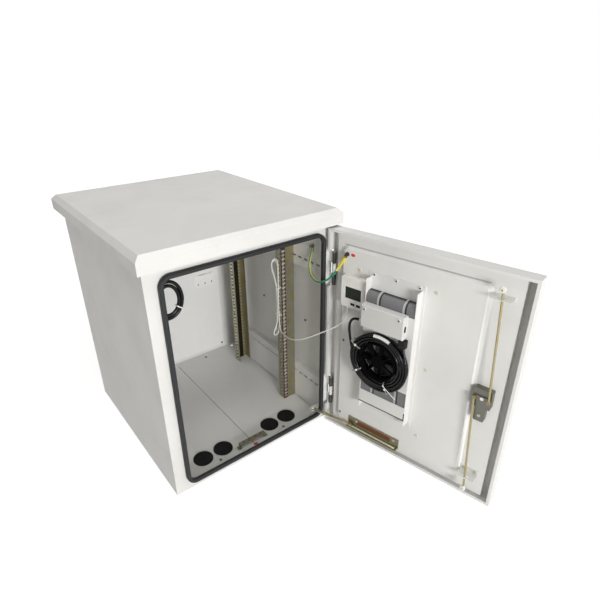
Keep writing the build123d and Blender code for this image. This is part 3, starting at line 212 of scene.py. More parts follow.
# Painted shade at the bracket's holes and along the floor plates' seam
HOLE_SHADE = (0.20, 0.20, 0.20)
ZINC = (0.46, 0.46, 0.42)
ZINC_GOLD = (0.48, 0.40, 0.20)
ZINC_ROSE = (0.42, 0.27, 0.17)
ZINC_GREEN = (0.34, 0.37, 0.20)
RAIL_OLIVE = (0.25, 0.235, 0.145)
RAIL_WHITE = (0.86, 0.84, 0.79)
RAIL_PALE = (0.62, 0.56, 0.36)
RAIL_CHANNEL_SHADE = (0.030, 0.027, 0.018)
RAIL_RED = (0.11, 0.025, 0.018)
STAY_GOLD = (0.50, 0.43, 0.28)
ROD_BRASS = (0.36, 0.29, 0.12)
CASE_GREY = (0.13, 0.135, 0.125)
CAM_GREY = (0.10, 0.10, 0.09)
HEAD_GREY = (0.14, 0.14, 0.13)
TRACK_OLIVE = (0.12, 0.095, 0.045)
TRACK_RED = (0.16, 0.065, 0.03)
TRACK_GREEN = (0.30, 0.29, 0.10)
PALE_METAL = (0.72, 0.72, 0.70)
RUBBER = (0.022, 0.023, 0.025)
GROMMET_BLACK = (0.008, 0.009, 0.009)
NYLON = (0.82, 0.80, 0.74)
CREAM = (0.66, 0.60, 0.45)
WHITE_SHELL = (0.84, 0.83, 0.79)
SCREEN = (0.028, 0.032, 0.026)
CORE_GREY = (0.20, 0.20, 0.21)
CORE_SHADE = (0.012, 0.012, 0.014)
STRAP_PALE = (0.46, 0.46, 0.47)
BLACK_SHELL = (0.006, 0.006, 0.007)
FAN_BLACK = (0.004, 0.004, 0.0045)
CABLE_BLACK = (0.007, 0.007, 0.008)
CABLE_WHITE = (0.80, 0.79, 0.75)
TIE_WHITE = (0.86, 0.86, 0.84)
TIE_CLEAR = (0.34, 0.34, 0.35)
WIRE_GREEN = (0.010, 0.27, 0.15)
WIRE_YELLOW = (0.78, 0.66, 0.08)
MARK_RED = (0.74, 0.05, 0.035)
# Dark bare steel, also laid on as painted shadow along the exchanger guard's edges
DARK_STEEL_AND_SHADE = (0.05, 0.05, 0.05)

# Shared finishes: noise as scale, detail and roughness, ranges as from low, from high, to low and to high
FINISH_OUTPUTS = {"Colour": "NodeSocketColor", "Roughness": "NodeSocketFloat", "Height": "NodeSocketFloat"}
NOISE_MIDDLE = (0.3, 0.7)
COAT_PATCH_NOISE = (11.0, 6, 0.65)
COAT_DRIFT_NOISE = (3.2, 3)
COAT_PEEL_NOISE = (900.0, 2)
COAT_DRIFT = (*NOISE_MIDDLE, 0.955, 1.03)
COAT_GRUB = (0.52, 0.78, 1.0, 0.955)
COAT_ROUGH = (0.3, 0.75, 0.38, 0.52)
COAT_BUMP = (0.12, 0.0004)
ZINC_BANDS = ((0.25, ZINC_GREEN), (0.42, ZINC_GOLD), (0.55, ZINC), (0.66, ZINC_GOLD), (0.8, ZINC_ROSE))
ZINC_CLOUD_DETAIL = (4, 0.6)
ZINC_STREAK_STRETCH = (600, 600, 18)
ZINC_STREAK_NOISE = (1.0, 3)
ZINC_ROUGH = (*NOISE_MIDDLE, 0.28, 0.45)
ZINC_BUMP = (0.1, 0.0002)
GRAIN_DRIFT_NOISE = (14.0, 3)
GRAIN_DRIFT = (*NOISE_MIDDLE, 0.9, 1.08)
GRAIN_DETAIL = 2
GRAIN_BUMP_REACH = 0.0003
CORE_BAND_SCALE = 90.0
CORE_BAND_WAVER = 0.4
CORE_BAND_SHADE = (0.15, 0.5, 0.4, 0.0)

# Places on the door with a colour laid on, some their own colour and some painted shade and shadow, as s, t,
# z: blocks by middle and half size, spots by s and z
BOX_SLOT_ROOM = ((297, -42, 507.5), (2.9, 3.2, 8.2))
BOX_GRIP = ((300.1, -42, 507.5), (1.3, 4.2, 9.4))
COATED_DOOR_HEADS = (((240, -2, 622), (90, 12, 9)), ((228, -53, 534), (70, 4, 9)))
CREAM_DOOR_HEADS = (((116, 2, 621), (8, 8, 9)), ((357, 2, 375), (9, 8, 260)))
DARK_HEAD_MIDDLES = ((168, 622), (239, 622), (311, 622), (173, 534), (285, 534), (69, 365), (67, 73))
DARK_HEAD_R = 3
DOOR_STUD_ROOM = ((71, -4, 657), (14, 20, 24))
# Painted shade on the core: beside each strap, over its head and behind the fan
STRAP_SHADES = (((206.5, -15, 385), (2.6, 30, 220)), ((288.5, -15, 385), (2.6, 30, 220)))
CORE_HEAD_SHADE = ((239, 0, 578), (100, 9, 6))
# Painted shadow: dark lines along the exchanger guard's lower edge and right end
GUARD_EDGE_SHADOWS = (((239, -28.6, 188.4), (90, 1.4, 3.0)), ((318.4, -28.6, 201), (1.7, 1.4, 14)))
FAN_MIDDLE = (224, 371.2)
FAN_SHADE_R = 64
# Painted shade: a thin dark line along the crease at the foot of the door panel's top slope
FIELD_CREASE_SHADE = ((271, 9, 685.2), (217, 5, 1.7))
TRACK_SHELF = ((200, -11, 50), (120, 10.5, 30))
TRACK_MIDDLE = ((201, -1, 62), (66, 5, 10))
ROLLER_ROOMS = (((526, -20, 692), (60, 30, 9)), ((526, -20, 43), (60, 30, 9)))
ROLLER_MIDDLES = ((526, 690), (526, 46))
AXLE_DOT_R = 1.9
CAM_PIVOT = (526, 365)
CAM_PIVOT_R = 5

# Places in the cabinet with a colour laid on: painted shade at the bracket's holes and along the floor
# plates' seam, and the hinge's own dark knuckles; holes by x and height, a seam and the hinge's knuckles
BRACKET_HOLES = ((145.3, 336), (176, 336), (206.7, 336))
BRACKET_HOLE_R = 3.4
SEAM_HALF = 1.3
KNUCKLE_REACH = 7.2

# Rails: rows of levels and half heights within one rack unit, then fields of rows, column, depth and colour
RAIL_FOOT = 14.5
RACK_UNIT = 44.45
BETWEEN_HOLES = (((14.29, 30.16), 3.0), ((0.7, 43.75), 0.9))
AT_HOLES = (((6.35, 22.225, 38.1), 3.2),)
WHOLE_RAIL = (((RACK_UNIT / 2,), RACK_UNIT),)
FRONT_RAIL_FIELDS = (
    (WHOLE_RAIL, (233, 8.2), (-161, 3), RAIL_RED),
    (BETWEEN_HOLES, (233, 6.4), (-161, 3), RAIL_WHITE),
)
# On the rear rail the dark field is painted shade inside its channel
REAR_RAIL_FIELDS = (
    (WHOLE_RAIL, (245, 17), (190, 3.5), RAIL_CHANNEL_SHADE),
    (BETWEEN_HOLES, (225, 1.5), (176, 6), RAIL_WHITE),
    (AT_HOLES, (267, 3.2), (190, 3.5), RAIL_PALE),
)


# Places


def cabinet_points(points):
    """Points given as x, distance behind the front plane and height, in millimetres, as rows in metres."""
    rows = np.array(points, float)
    rows[..., 1] += FRONT
    return rows * MM


def shut_points(points):
    """Points given on the door as s, t and z, where the shut door holds them: x is half the door's width
    less s, y is the front less the gap less t."""
    rows = np.array(points, float)
    return np.stack((DOOR_W / 2 - rows[..., 0], FRONT - DOOR_GAP - rows[..., 1], rows[..., 2]), -1) * MM


def door_points(points):
    """Points given on the door as s, t and z, where the open door holds them: the shut place turned about
    the hinge pins by the opening angle."""
    rows = shut_points(points)
    x = rows[..., 0] - HINGE[0] * MM
    y = rows[..., 1] - HINGE[1] * MM
    cos, sin = math.cos(DOOR_OPEN), math.sin(DOOR_OPEN)
    return np.stack((HINGE[0] * MM + x * cos - y * sin, HINGE[1] * MM + x * sin + y * cos, rows[..., 2]), -1)


# Shader building


def new_finish(name, inputs):
    """Shader node group for a finish: gives the group, its inputs as seen from within, and its outputs."""
    group = bpy.data.node_groups.new(name, "ShaderNodeTree")
    for label, kind, value in inputs:
        socket = group.interface.new_socket(label, in_out="INPUT", socket_type=kind)
        socket.default_value = value
    for label, kind in FINISH_OUTPUTS.items():
        group.interface.new_socket(label, in_out="OUTPUT", socket_type=kind)
    return group, group.nodes.new("NodeGroupInput").outputs, group.nodes.new("NodeGroupOutput").inputs


def plug(tree, value, socket):
    """A socket is linked; a number or colour is set."""
    if isinstance(value, bpy.types.NodeSocket):
        tree.links.new(value, socket)
    elif isinstance(value, (int, float)):
        socket.default_value = value
    else:
        socket.default_value = tuple(value) + (1,) * (len(socket.default_value) - len(value))


def operate(tree, kind, operation, values):
    """Node of the given kind and operation, with its inputs linked or set."""
    node = tree.nodes.new(kind)
    node.operation = operation
    for value, socket in zip(values, node.inputs):
        plug(tree, value, socket)
    return node


def math_node(tree, operation, *values):
    """Result of one operation on numbers."""
    return operate(tree, "ShaderNodeMath", operation, values).outputs["Value"]


def vector_node(tree, operation, *values):
    """Result of one operation on vectors: a number for a distance or a length, and else a vector."""
    node = operate(tree, "ShaderNodeVectorMath", operation, values)
    return node.outputs["Value" if operation in ("DISTANCE", "LENGTH") else "Vector"]


def largest(tree, values):
    """Largest of several numbers or masks."""
    return reduce(lambda first, second: math_node(tree, "MAXIMUM", first, second), values)


def split(tree, vector):
    """A vector's X, Y and Z."""
    node = tree.nodes.new("ShaderNodeSeparateXYZ")
    tree.links.new(vector, node.inputs[0])
    return node.outputs


def grey(tree, value):
    """Colour whose three channels are one value."""
    node = tree.nodes.new("ShaderNodeCombineColor")
    for channel in node.inputs:
        tree.links.new(value, channel)
    return node.outputs["Color"]


def noise(tree, where, scale, detail, rough=0.55):
    """Fractal noise at a place."""
    node = tree.nodes.new("ShaderNodeTexNoise")
    node.inputs["Detail"].default_value = detail
    node.inputs["Roughness"].default_value = rough
    plug(tree, scale, node.inputs["Scale"])
    tree.links.new(where, node.inputs["Vector"])
    return node.outputs["Fac"]


def remap(tree, value, low, high, to_low, to_high):
    """Value carried from one range to another and held at its ends."""
    node = tree.nodes.new("ShaderNodeMapRange")
    for label, end in (("From Min", low), ("From Max", high), ("To Min", to_low), ("To Max", to_high)):
        plug(tree, end, node.inputs[label])
    tree.links.new(value, node.inputs["Value"])
    return node.outputs["Result"]


def mix_colour(tree, share, first, second, mode="MIX"):
    """Second colour laid over the first by a share."""
    node = tree.nodes.new("ShaderNodeMix")
    node.data_type = "RGBA"
    node.blend_type = mode
    for label, value in (("Factor", share), ("A", first), ("B", second)):
        kind = "Float" if label == "Factor" else "Color"
        socket = next(s for s in node.inputs if s.name == label and s.identifier.endswith(kind))
        plug(tree, value, socket)
    return next(s for s in node.outputs if s.identifier.endswith("Color"))


def object_place(tree):
    """Place in the part's own frame, with the door open."""
    return tree.nodes.new("ShaderNodeTexCoord").outputs["Object"]


def shut_place(tree):
    """Object coordinates turned back about the hinge pins, so that they are the shut door's own."""
    turn = tree.nodes.new("ShaderNodeMapping")
    back = Matrix.Rotation(-DOOR_OPEN, 3, "Z")
    pin = Vector((HINGE[0], HINGE[1], 0)) * MM
    turn.inputs["Rotation"].default_value = (0, 0, -DOOR_OPEN)
    turn.inputs["Location"].default_value = pin - back @ pin
    tree.links.new(object_place(tree), turn.inputs["Vector"])
    return turn.outputs["Vector"]


def inside(tree, where, middle, half):
    """Mask of a block: 1 where the largest of |place - middle| - half over the three axes is below zero."""
    away = vector_node(tree, "ABSOLUTE", vector_node(tree, "SUBTRACT", where, middle))
    past = split(tree, vector_node(tree, "SUBTRACT", away, half))
    return math_node(tree, "LESS_THAN", largest(tree, past), 0.0)


def near_any(tree, where, spots, reach, flat):
    """Mask of round spots: 1 where the distance from a spot, with one axis flattened away, is below reach."""
    plane = vector_node(tree, "MULTIPLY", where, flat)
    distances = [vector_node(tree, "DISTANCE", plane, np.array(spot) * flat) for spot in spots]
    return largest(tree, [math_node(tree, "LESS_THAN", distance, reach * MM) for distance in distances])


def band_mask(tree, value, middle, half):
    """1 where a value lies within half of the middle."""
    off = math_node(tree, "ABSOLUTE", math_node(tree, "SUBTRACT", value, middle))
    return math_node(tree, "LESS_THAN", off, half)


# Shared finishes


def give(group, out, *values):
    """Links a finish's colour, roughness and height to its group's outputs."""
    for label, value in zip(FINISH_OUTPUTS, values):
        group.links.new(value, out[label])
    return group


def coat_group():
    """Powder coat: slow tone drift, fine orange-peel height and faint grubby patches."""
    group, given, out = new_finish("powder_coat_grain", [("Colour", "NodeSocketColor", (*COAT, 1))])
    where = object_place(group)
    patch = noise(group, where, *COAT_PATCH_NOISE)
    drift = remap(group, noise(group, where, *COAT_DRIFT_NOISE), *COAT_DRIFT)
    tone = grey(group, math_node(group, "MULTIPLY", drift, remap(group, patch, *COAT_GRUB)))
    colour = mix_colour(group, 1.0, given["Colour"], tone, "MULTIPLY")
    rough = remap(group, patch, *COAT_ROUGH)
    return give(group, out, colour, rough, noise(group, where, *COAT_PEEL_NOISE))


def passivate_group():
    """Passivated zinc: cloudy bands of gold, rose and green over the base, with fine rolling streaks."""
    group, given, out = new_finish(
        "zinc_clouds",
        [("Base", "NodeSocketColor", (*ZINC, 1)), ("Gold Share", "NodeSocketFloat", 0.6),
         ("Cloud Scale", "NodeSocketFloat", 24.0)],
    )
    where = object_place(group)
    bands = group.nodes.new("ShaderNodeValToRGB")
    ramp = bands.color_ramp.elements
    for element, (place, colour) in zip((ramp[0], ramp[1]), (ZINC_BANDS[0], ZINC_BANDS[-1])):
        element.position = place
        element.color = (*colour, 1)
    for place, colour in ZINC_BANDS[1:-1]:
        ramp.new(place).color = (*colour, 1)
    clouds = noise(group, where, given["Cloud Scale"], *ZINC_CLOUD_DETAIL)
    group.links.new(clouds, bands.inputs["Fac"])
    colour = mix_colour(group, given["Gold Share"], given["Base"], bands.outputs["Color"])
    stretched = vector_node(group, "MULTIPLY", where, ZINC_STREAK_STRETCH)
    streak = noise(group, stretched, *ZINC_STREAK_NOISE)
    return give(group, out, colour, remap(group, streak, *ZINC_ROUGH), streak)


def grain_group():
    """Moulded grain: fine bumps, faint tone drift and patchy sheen, for plastics, rubber and sheaths."""
    group, given, out = new_finish(
        "moulded_grain",
        [("Colour", "NodeSocketColor", (*BLACK_SHELL, 1)), ("Grain Scale", "NodeSocketFloat", 1400.0),
         ("Rough Low", "NodeSocketFloat", 0.4), ("Rough High", "NodeSocketFloat", 0.6)],
    )
    where = object_place(group)
    drift = noise(group, where, *GRAIN_DRIFT_NOISE)
    tone = grey(group, remap(group, drift, *GRAIN_DRIFT))
    colour = mix_colour(group, 1.0, given["Colour"], tone, "MULTIPLY")
    rough = remap(group, drift, *NOISE_MIDDLE, given["Rough Low"], given["Rough High"])
    return give(group, out, colour, rough, noise(group, where, given["Grain Scale"], GRAIN_DETAIL))


COAT_GRAIN = coat_group()
ZINC_CLOUDS = passivate_group()
MOULDED_GRAIN = grain_group()


# Materials


def grouped_material(name, group, values, bump, metallic=0.0, specular=0.5):
    """Material from one shared group: its colour and roughness go to the shader, and its height to a bump of
    the given strength and distance."""
    material = bpy.data.materials.new(name)
    material.use_nodes = True
    tree = material.node_tree
    shader = tree.nodes["Principled BSDF"]
    shader.inputs["Metallic"].default_value = metallic
    shader.inputs["Specular IOR Level"].default_value = specular
    effect = tree.nodes.new("ShaderNodeGroup")
    effect.node_tree = group
    for label, value in values.items():
        plug(tree, value, effect.inputs[label])
    tree.links.new(effect.outputs["Colour"], shader.inputs["Base Color"])
    tree.links.new(effect.outputs["Roughness"], shader.inputs["Roughness"])
    height = tree.nodes.new("ShaderNodeBump")
    height.inputs["Strength"].default_value, height.inputs["Distance"].default_value = bump
    tree.links.new(effect.outputs["Height"], height.inputs["Height"])
    tree.links.new(height.outputs["Normal"], shader.inputs["Normal"])
    return material


def coated(name, colour):
    """Powder coat of one colour."""
    return grouped_material(name, COAT_GRAIN, {"Colour": colour}, COAT_BUMP)


def zinc(name, base, gold, scale=24.0, metallic=0.8):
    """Passivated metal: its base colour, the share of gold clouds, their scale and how metallic it is."""
    values = {"Base": base, "Gold Share": gold, "Cloud Scale": scale}
    return grouped_material(name, ZINC_CLOUDS, values, ZINC_BUMP, metallic=metallic)


def moulded(name, colour, low, high, scale=1400.0, bump=0.12, specular=0.5):
    """Plastic or rubber: its colour, lowest and highest roughness, grain scale, bump and gloss."""
    values = {"Colour": colour, "Rough Low": low, "Rough High": high, "Grain Scale": scale}
    return grouped_material(name, MOULDED_GRAIN, values, (bump, GRAIN_BUMP_REACH), specular=specular)


def tint(material, mask, colour):
    """Lays a colour over a finished material where the mask is 1."""
    tree = material.node_tree
    base = tree.nodes["Principled BSDF"].inputs["Base Color"]
    tree.links.new(mix_colour(tree, mask, base.links[0].from_socket, colour), base)
    return material


def tint_rooms(material, rooms, colour):
    """Lays a colour over blocks on the door."""
    tree = material.node_tree
    where = shut_place(tree)
    masks = [inside(tree, where, shut_points(middle), np.array(half) * MM) for middle, half in rooms]
    return tint(material, largest(tree, masks), colour)


def tint_spots(material, middles, reach, colour):
    """Lays a colour over round spots on the door, given across and up it."""
    tree = material.node_tree
    spots = [shut_points((across, 0, level)) for across, level in middles]
    return tint(material, near_any(tree, shut_place(tree), spots, reach, UPRIGHT_PLANE), colour)


def striped_wire():
    """Green sheath with a yellow stripe along one side, where the UV map's first value is near 1."""
    material = moulded("earth_wire_sheath", WIRE_GREEN, 0.35, 0.5)
    tree = material.node_tree
    uv = tree.nodes.new("ShaderNodeUVMap")
    uv.uv_map = "along"
    facing = split(tree, uv.outputs["UV"])["X"]
    return tint(material, math_node(tree, "GREATER_THAN", facing, STRIPE_EDGE), WIRE_YELLOW)


def core_material():
    """Grey core with painted shade: level bands for its narrow air passages, an edge beside each strap, a
    line over its head and a round mouth behind the fan."""
    material = moulded("core_fins", CORE_GREY, 0.38, 0.55, 500.0)
    tree = material.node_tree
    bands = tree.nodes.new("ShaderNodeTexWave")
    bands.bands_direction = "Z"
    bands.inputs["Scale"].default_value = CORE_BAND_SCALE
    bands.inputs["Distortion"].default_value = CORE_BAND_WAVER
    tree.links.new(object_place(tree), bands.inputs["Vector"])
    tint(material, remap(tree, bands.outputs["Fac"], *CORE_BAND_SHADE), CORE_SHADE)
    tint_rooms(material, (*STRAP_SHADES, CORE_HEAD_SHADE), CORE_SHADE)
    return tint_spots(material, (FAN_MIDDLE,), FAN_SHADE_R, CORE_SHADE)


def track_material():
    """Passivated track: olive upright plate, reddish along its middle, and a greener shelf."""
    material = zinc("track_plating", TRACK_OLIVE, 0.3, 46.0)
    tint_rooms(material, (TRACK_MIDDLE,), TRACK_RED)
    return tint_rooms(material, (TRACK_SHELF,), TRACK_GREEN)


def door_head_material():
    """Door fixings: coated heads with a dark recess, cream nuts and a blackened earth stud."""
    material = zinc("door_heads", ZINC, 0.35, 40.0, 0.3)
    tint_rooms(material, CREAM_DOOR_HEADS, CREAM)
    tint_rooms(material, COATED_DOOR_HEADS, COAT_DOOR)
    tint_spots(material, DARK_HEAD_MIDDLES, DARK_HEAD_R, DARK_STEEL_AND_SHADE)
    return tint_rooms(material, (DOOR_STUD_ROOM,), DARK_STEEL_AND_SHADE)


def hinge_material():
    """Coated leaf with bare dark knuckles: dark where the distance from the pin's line is small."""
    material = coated("coat_hinge", COAT)
    tree = material.node_tree
    pin = (HINGE[0] * MM, HINGE[1] * MM, 0)
    return tint(material, near_any(tree, object_place(tree), (pin,), KNUCKLE_REACH, LEVEL_PLANE), DARK_STEEL_AND_SHADE)


def liner_material():
    """Coated lining, whiter than the body partly by its own coat and partly by painted light, with painted
    shade where it shows through the bracket's holes.
    """
    material = coated("coat_liner", COAT_LINER_WHITE_AND_LIT)
    tree = material.node_tree
    spots = [(x * MM, 0, level * MM) for x, level in BRACKET_HOLES]
    mask = near_any(tree, object_place(tree), spots, BRACKET_HOLE_R, UPRIGHT_PLANE)
    return tint(material, mask, HOLE_SHADE)


def floor_plate_material():
    """Coated floor plate with a line of painted shade where the two plates meet."""
    material = coated("coat_floor_plate", COAT)
    tree = material.node_tree
    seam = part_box("right_floor_plate")[0][0]
    x = split(tree, object_place(tree))["X"]
    return tint(material, band_mask(tree, x, seam, SEAM_HALF * MM), HOLE_SHADE)


def rod_material():
    """Plated rod whose axle ends are pale with a dark centre."""
    material = zinc("rod_plating", ROD_BRASS, 0.3, 30.0, 0.6)
    tint_rooms(material, ROLLER_ROOMS, NYLON)
    return tint_spots(material, ROLLER_MIDDLES, AXLE_DOT_R, DARK_STEEL_AND_SHADE)


def marked_rail(name, fields):
    """Passivated rail with fields of other colours: the height within one rack unit is compared with the
    fields' levels, and the places across and back with their columns."""
    material = zinc(name, RAIL_OLIVE, 0.45, 20.0)
    tree = material.node_tree
    x, y, z = split(tree, object_place(tree))
    units = math_node(tree, "DIVIDE", math_node(tree, "SUBTRACT", z, RAIL_FOOT * MM), RACK_UNIT * MM)
    rise = math_node(tree, "FRACT", units)
    for rows, across, deep, colour in fields:
        column = math_node(tree, "MULTIPLY", band_mask(tree, x, across[0] * MM, across[1] * MM),
                           band_mask(tree, y, deep[0] * MM, deep[1] * MM))
        for levels, half in rows:
            for level in levels:
                one = band_mask(tree, rise, level / RACK_UNIT, half / RACK_UNIT)
                tint(material, math_node(tree, "MULTIPLY", one, column), colour)
    return material


MATERIALS = {
    "coat": coated("coat_body", COAT),
    "coat_roof": coated("coat_roof", COAT_ROOF),
    "coat_door": coated("coat_door", COAT_DOOR),
    # The back bracket's coat is a brighter copy, painted light
    "coat_bright": coated("coat_bright", COAT_LIT),
    "coat_liner": liner_material(),
    "coat_floor_plate": floor_plate_material(),
    # The door panel carries painted shade along the crease at the foot of its top slope
    "coat_panel": tint_rooms(coated("coat_panel", COAT_DOOR), (FIELD_CREASE_SHADE,), CREASE_SHADE),
    # The control box's coat is a darker copy, painted shade
    "coat_box": tint_rooms(coated("coat_box", COAT_BOX_SHADE), (BOX_SLOT_ROOM,), BLACK_SHELL),
    # The exchanger frame's coat is a darker copy, painted shade, with painted shadow along its guard's edges
    "coat_unit": tint_rooms(coated("coat_unit", COAT_UNIT_SHADE), GUARD_EDGE_SHADOWS, DARK_STEEL_AND_SHADE),
    "hinge": hinge_material(),
    "rail": zinc("rail_plating", RAIL_OLIVE, 0.45, 20.0),
    "rail_marked": marked_rail("rail_marked", FRONT_RAIL_FIELDS),
    "rail_rear": marked_rail("rail_rear", REAR_RAIL_FIELDS),
    "stay": zinc("stay_plating", STAY_GOLD, 0.4, 30.0),
    "rod": rod_material(),
    "case": zinc("case_zinc", CASE_GREY, 0.12, 60.0),
    "cam": tint_spots(zinc("cam_plating", CAM_GREY, 0.2, 40.0), (CAM_PIVOT,), CAM_PIVOT_R, PALE_METAL),
    "fittings": zinc("zinc_fittings", ZINC, 0.4, 40.0),
    "dark_heads": zinc("dark_heads", HEAD_GREY, 0.15, 40.0, 0.5),
    "door_heads": door_head_material(),
    "track": track_material(),
    "pale_metal": zinc("pale_metal", PALE_METAL, 0.05, 40.0, 0.35),
    "rubber": moulded("seal_rubber", RUBBER, 0.5, 0.7, 700.0, 0.25, 0.35),
    "grommet": moulded("grommet_rubber", GROMMET_BLACK, 0.6, 0.8, 700.0, 0.25, 0.2),
    "nylon": moulded("roller_nylon", NYLON, 0.4, 0.55),
    "white_shell": moulded("controller_shell", WHITE_SHELL, 0.38, 0.5),
    "screen": moulded("screen_window", SCREEN, 0.12, 0.2, 300.0, 0.02, 0.3),
    "core": core_material(),
    "strap": moulded("core_strap", STRAP_PALE, 0.4, 0.5),
    "black_shell": moulded("black_shell", BLACK_SHELL, 0.45, 0.65, specular=0.25),
    "fan_black": moulded("fan_black", FAN_BLACK, 0.8, 0.95, specular=0.02),
    "black_cable": moulded("black_sheath", CABLE_BLACK, 0.16, 0.26, 900.0, 0.03, 0.22),
    "white_cable": moulded("white_sheath", CABLE_WHITE, 0.35, 0.5),
    "tie": moulded("tie_nylon", TIE_WHITE, 0.3, 0.45),
    "tie_clear": moulded("tie_clear_nylon", TIE_CLEAR, 0.25, 0.4),
    "label": moulded("plain_label", TIE_WHITE, 0.45, 0.6, 600.0),
    "earth": striped_wire(),
    "sleeve": moulded("yellow_sleeve", WIRE_YELLOW, 0.35, 0.5),
    "mark": moulded("red_mark", MARK_RED, 0.4, 0.55),
}

NODE_FINISH = {
    "coat_floor_plate": ("left_floor_plate", "right_floor_plate"),
    "coat": ("base_frame", "left_wall", "right_wall", "back_wall", "top_panel", "front_frame",
             "left_lower_bearer", "right_lower_bearer", "left_upper_bearer", "right_upper_bearer",
             "stay_bracket"),
    "coat_roof": ("roof_cover",),
    "coat_door": ("door_shell", "door_hinge_leaves"),
    "coat_panel": ("door_panel",),
    "coat_bright": ("back_bracket",),
    "coat_liner": ("back_liner",),
    "coat_box": ("control_box",),
    "coat_unit": ("exchanger_frame",),
    "hinge": ("frame_hinge_leaves",),
    "rail": ("left_front_rail", "left_rear_rail", "earth_bar"),
    "rail_rear": ("right_rear_rail",),
    "rail_marked": ("right_front_rail",),
    "stay": ("stay_arm", "stay_bolt"),
    "rod": ("upper_lock_rod", "lower_lock_rod"),
    "case": ("lock_case", "handle_plate"),
    "cam": ("lock_cam",),
    "fittings": ("hinge_pins",),
    "dark_heads": ("cabinet_fixings",),
    "door_heads": ("door_fixings",),
    "track": ("stay_track",),
    "pale_metal": ("upper_rod_guide", "lower_rod_guide"),
    "rubber": ("door_seal",),
    "grommet": ("cable_grommets",),
    "nylon": ("upper_rod_roller", "lower_rod_roller"),
    "white_shell": ("controller_housing",),
    "screen": ("controller_screen",),
    "core": ("exchanger_core",),
    "strap": ("core_straps",),
    "fan_black": ("fan_housing", "fan_rotor"),
    "black_shell": ("lead_connector", "left_button", "right_button", "lock_handle"),
    "black_cable": ("power_lead", "power_coil", "spare_loop"),
    "white_cable": ("sensor_lead", "sensor_hank"),
    "earth": ("earth_wire",),
}


def finish_nodes():
    """Gives each node of the part its finish."""
    for finish, names in NODE_FINISH.items():
        for name in names:
            NODES[name].data.materials.clear()
            NODES[name].data.materials.append(MATERIALS[finish])


# Meshes


def surface_piece(name, grid, finish, body, wrap_u=False, wrap_v=False, caps=False, uv=None):
    """Mesh from a grid of points, one quad for each cell; wrap closes a direction, caps close the ends.

    Cell (i, j) joins points (i, j), (i + 1, j), (i + 1, j + 1) and (i, j + 1)."""
    rows, columns = grid.shape[:2]
    i, j = np.meshgrid(np.arange(rows if wrap_u else rows - 1), np.arange(columns if wrap_v else columns - 1),
                       indexing="ij")
    i, j = i.ravel(), j.ravel()
    i2, j2 = (i + 1) % rows, (j + 1) % columns
    faces = np.stack((i * columns + j, i2 * columns + j, i2 * columns + j2, i * columns + j2), 1).tolist()
    if caps:
        faces.append(list(range(columns))[::-1])
        faces.append(list(range((rows - 1) * columns, rows * columns)))
    mesh = bpy.data.meshes.new(name)
    mesh.from_pydata(grid.reshape(-1, 3).tolist(), [], faces)
    if uv is not None:
        layer = mesh.uv_layers.new(name="along")
        loops = np.empty(len(mesh.loops), int)
        mesh.loops.foreach_get("vertex_index", loops)
        layer.data.foreach_set("uv", uv.reshape(-1, 2)[loops].astype(np.float32).ravel())
    mesh.polygons.foreach_set("use_smooth", np.ones(len(mesh.polygons), bool))
    mesh.update()
    piece = bpy.data.objects.new(name, mesh)
    bpy.context.collection.objects.link(piece)
    mesh.materials.append(MATERIALS[finish])
    if body:
        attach(piece, body)
    return piece


def spline(name, points, radius=0.0):
    """Smooth curve object: a NURBS line of order 3 with the route's points as its control points."""
    data = bpy.data.curves.new(name, "CURVE")
    data.dimensions = "3D"
    data.resolution_u = CURVE_STEPS
    data.bevel_depth = radius * MM
    data.bevel_resolution = BEVEL_STEPS
    data.use_fill_caps = True
    line = data.splines.new("NURBS")
    line.points.add(len(points) - 1)
    weights = np.ones((len(points), 4))
    weights[:, :3] = points
    line.points.foreach_set("co", weights.ravel())
    line.order_u = 3
    line.use_endpoint_u = True
    piece = bpy.data.objects.new(name, data)
    bpy.context.collection.objects.link(piece)
    return piece


def spline_points(name, points):
    """Points along the route's smooth line, as Blender samples it."""
    line = spline(name + "_line", points)
    bpy.context.view_layer.update()
    sampled = bpy.data.meshes.new_from_object(line.evaluated_get(bpy.context.evaluated_depsgraph_get()))
    out = np.empty(len(sampled.vertices) * 3)
    sampled.vertices.foreach_get("co", out)
    bpy.data.objects.remove(line)
    bpy.data.meshes.remove(sampled)
    return out.reshape(-1, 3)


def frames_along(path):
    """Two unit vectors square to a path at each point, from a fixed guide vector made square to its
    heading."""
    heading = np.gradient(path, axis=0)
    heading /= np.linalg.norm(heading, axis=1)[:, None]
    guide = np.where(np.abs(heading[:, :1]) < GUIDE_LIMIT, X_AXIS, Y_AXIS)
    side = np.cross(heading, guide)
    side /= np.linalg.norm(side, axis=1)[:, None]
    return side, np.cross(heading, side)


def lengths_along(path):
    """Distance run from the path's first point to each of its points."""
    return np.concatenate(([0], np.cumsum(np.linalg.norm(np.diff(path, axis=0), axis=1))))


def tube_grid(path, radius):
    """Tube: each path point plus radius times (cos a, sin a) on the two vectors square to the path. Its UV
    map holds half of 1 + cos a and the distance run."""
    side, up = frames_along(path)
    angle = np.linspace(0, 2 * math.pi, TUBE_SIDES, endpoint=False)
    radius = np.broadcast_to(radius, len(path))[:, None, None] * MM
    ring = np.cos(angle)[None, :, None] * side[:, None] + np.sin(angle)[None, :, None] * up[:, None]
    uv = np.stack(np.broadcast_arrays(0.5 + 0.5 * np.cos(angle)[None, :], lengths_along(path)[:, None]), -1)
    return path[:, None] + radius * ring, uv


def signed_power(value, power):
    """Value raised to a power, keeping its sign."""
    return np.sign(value) * np.abs(value) ** power


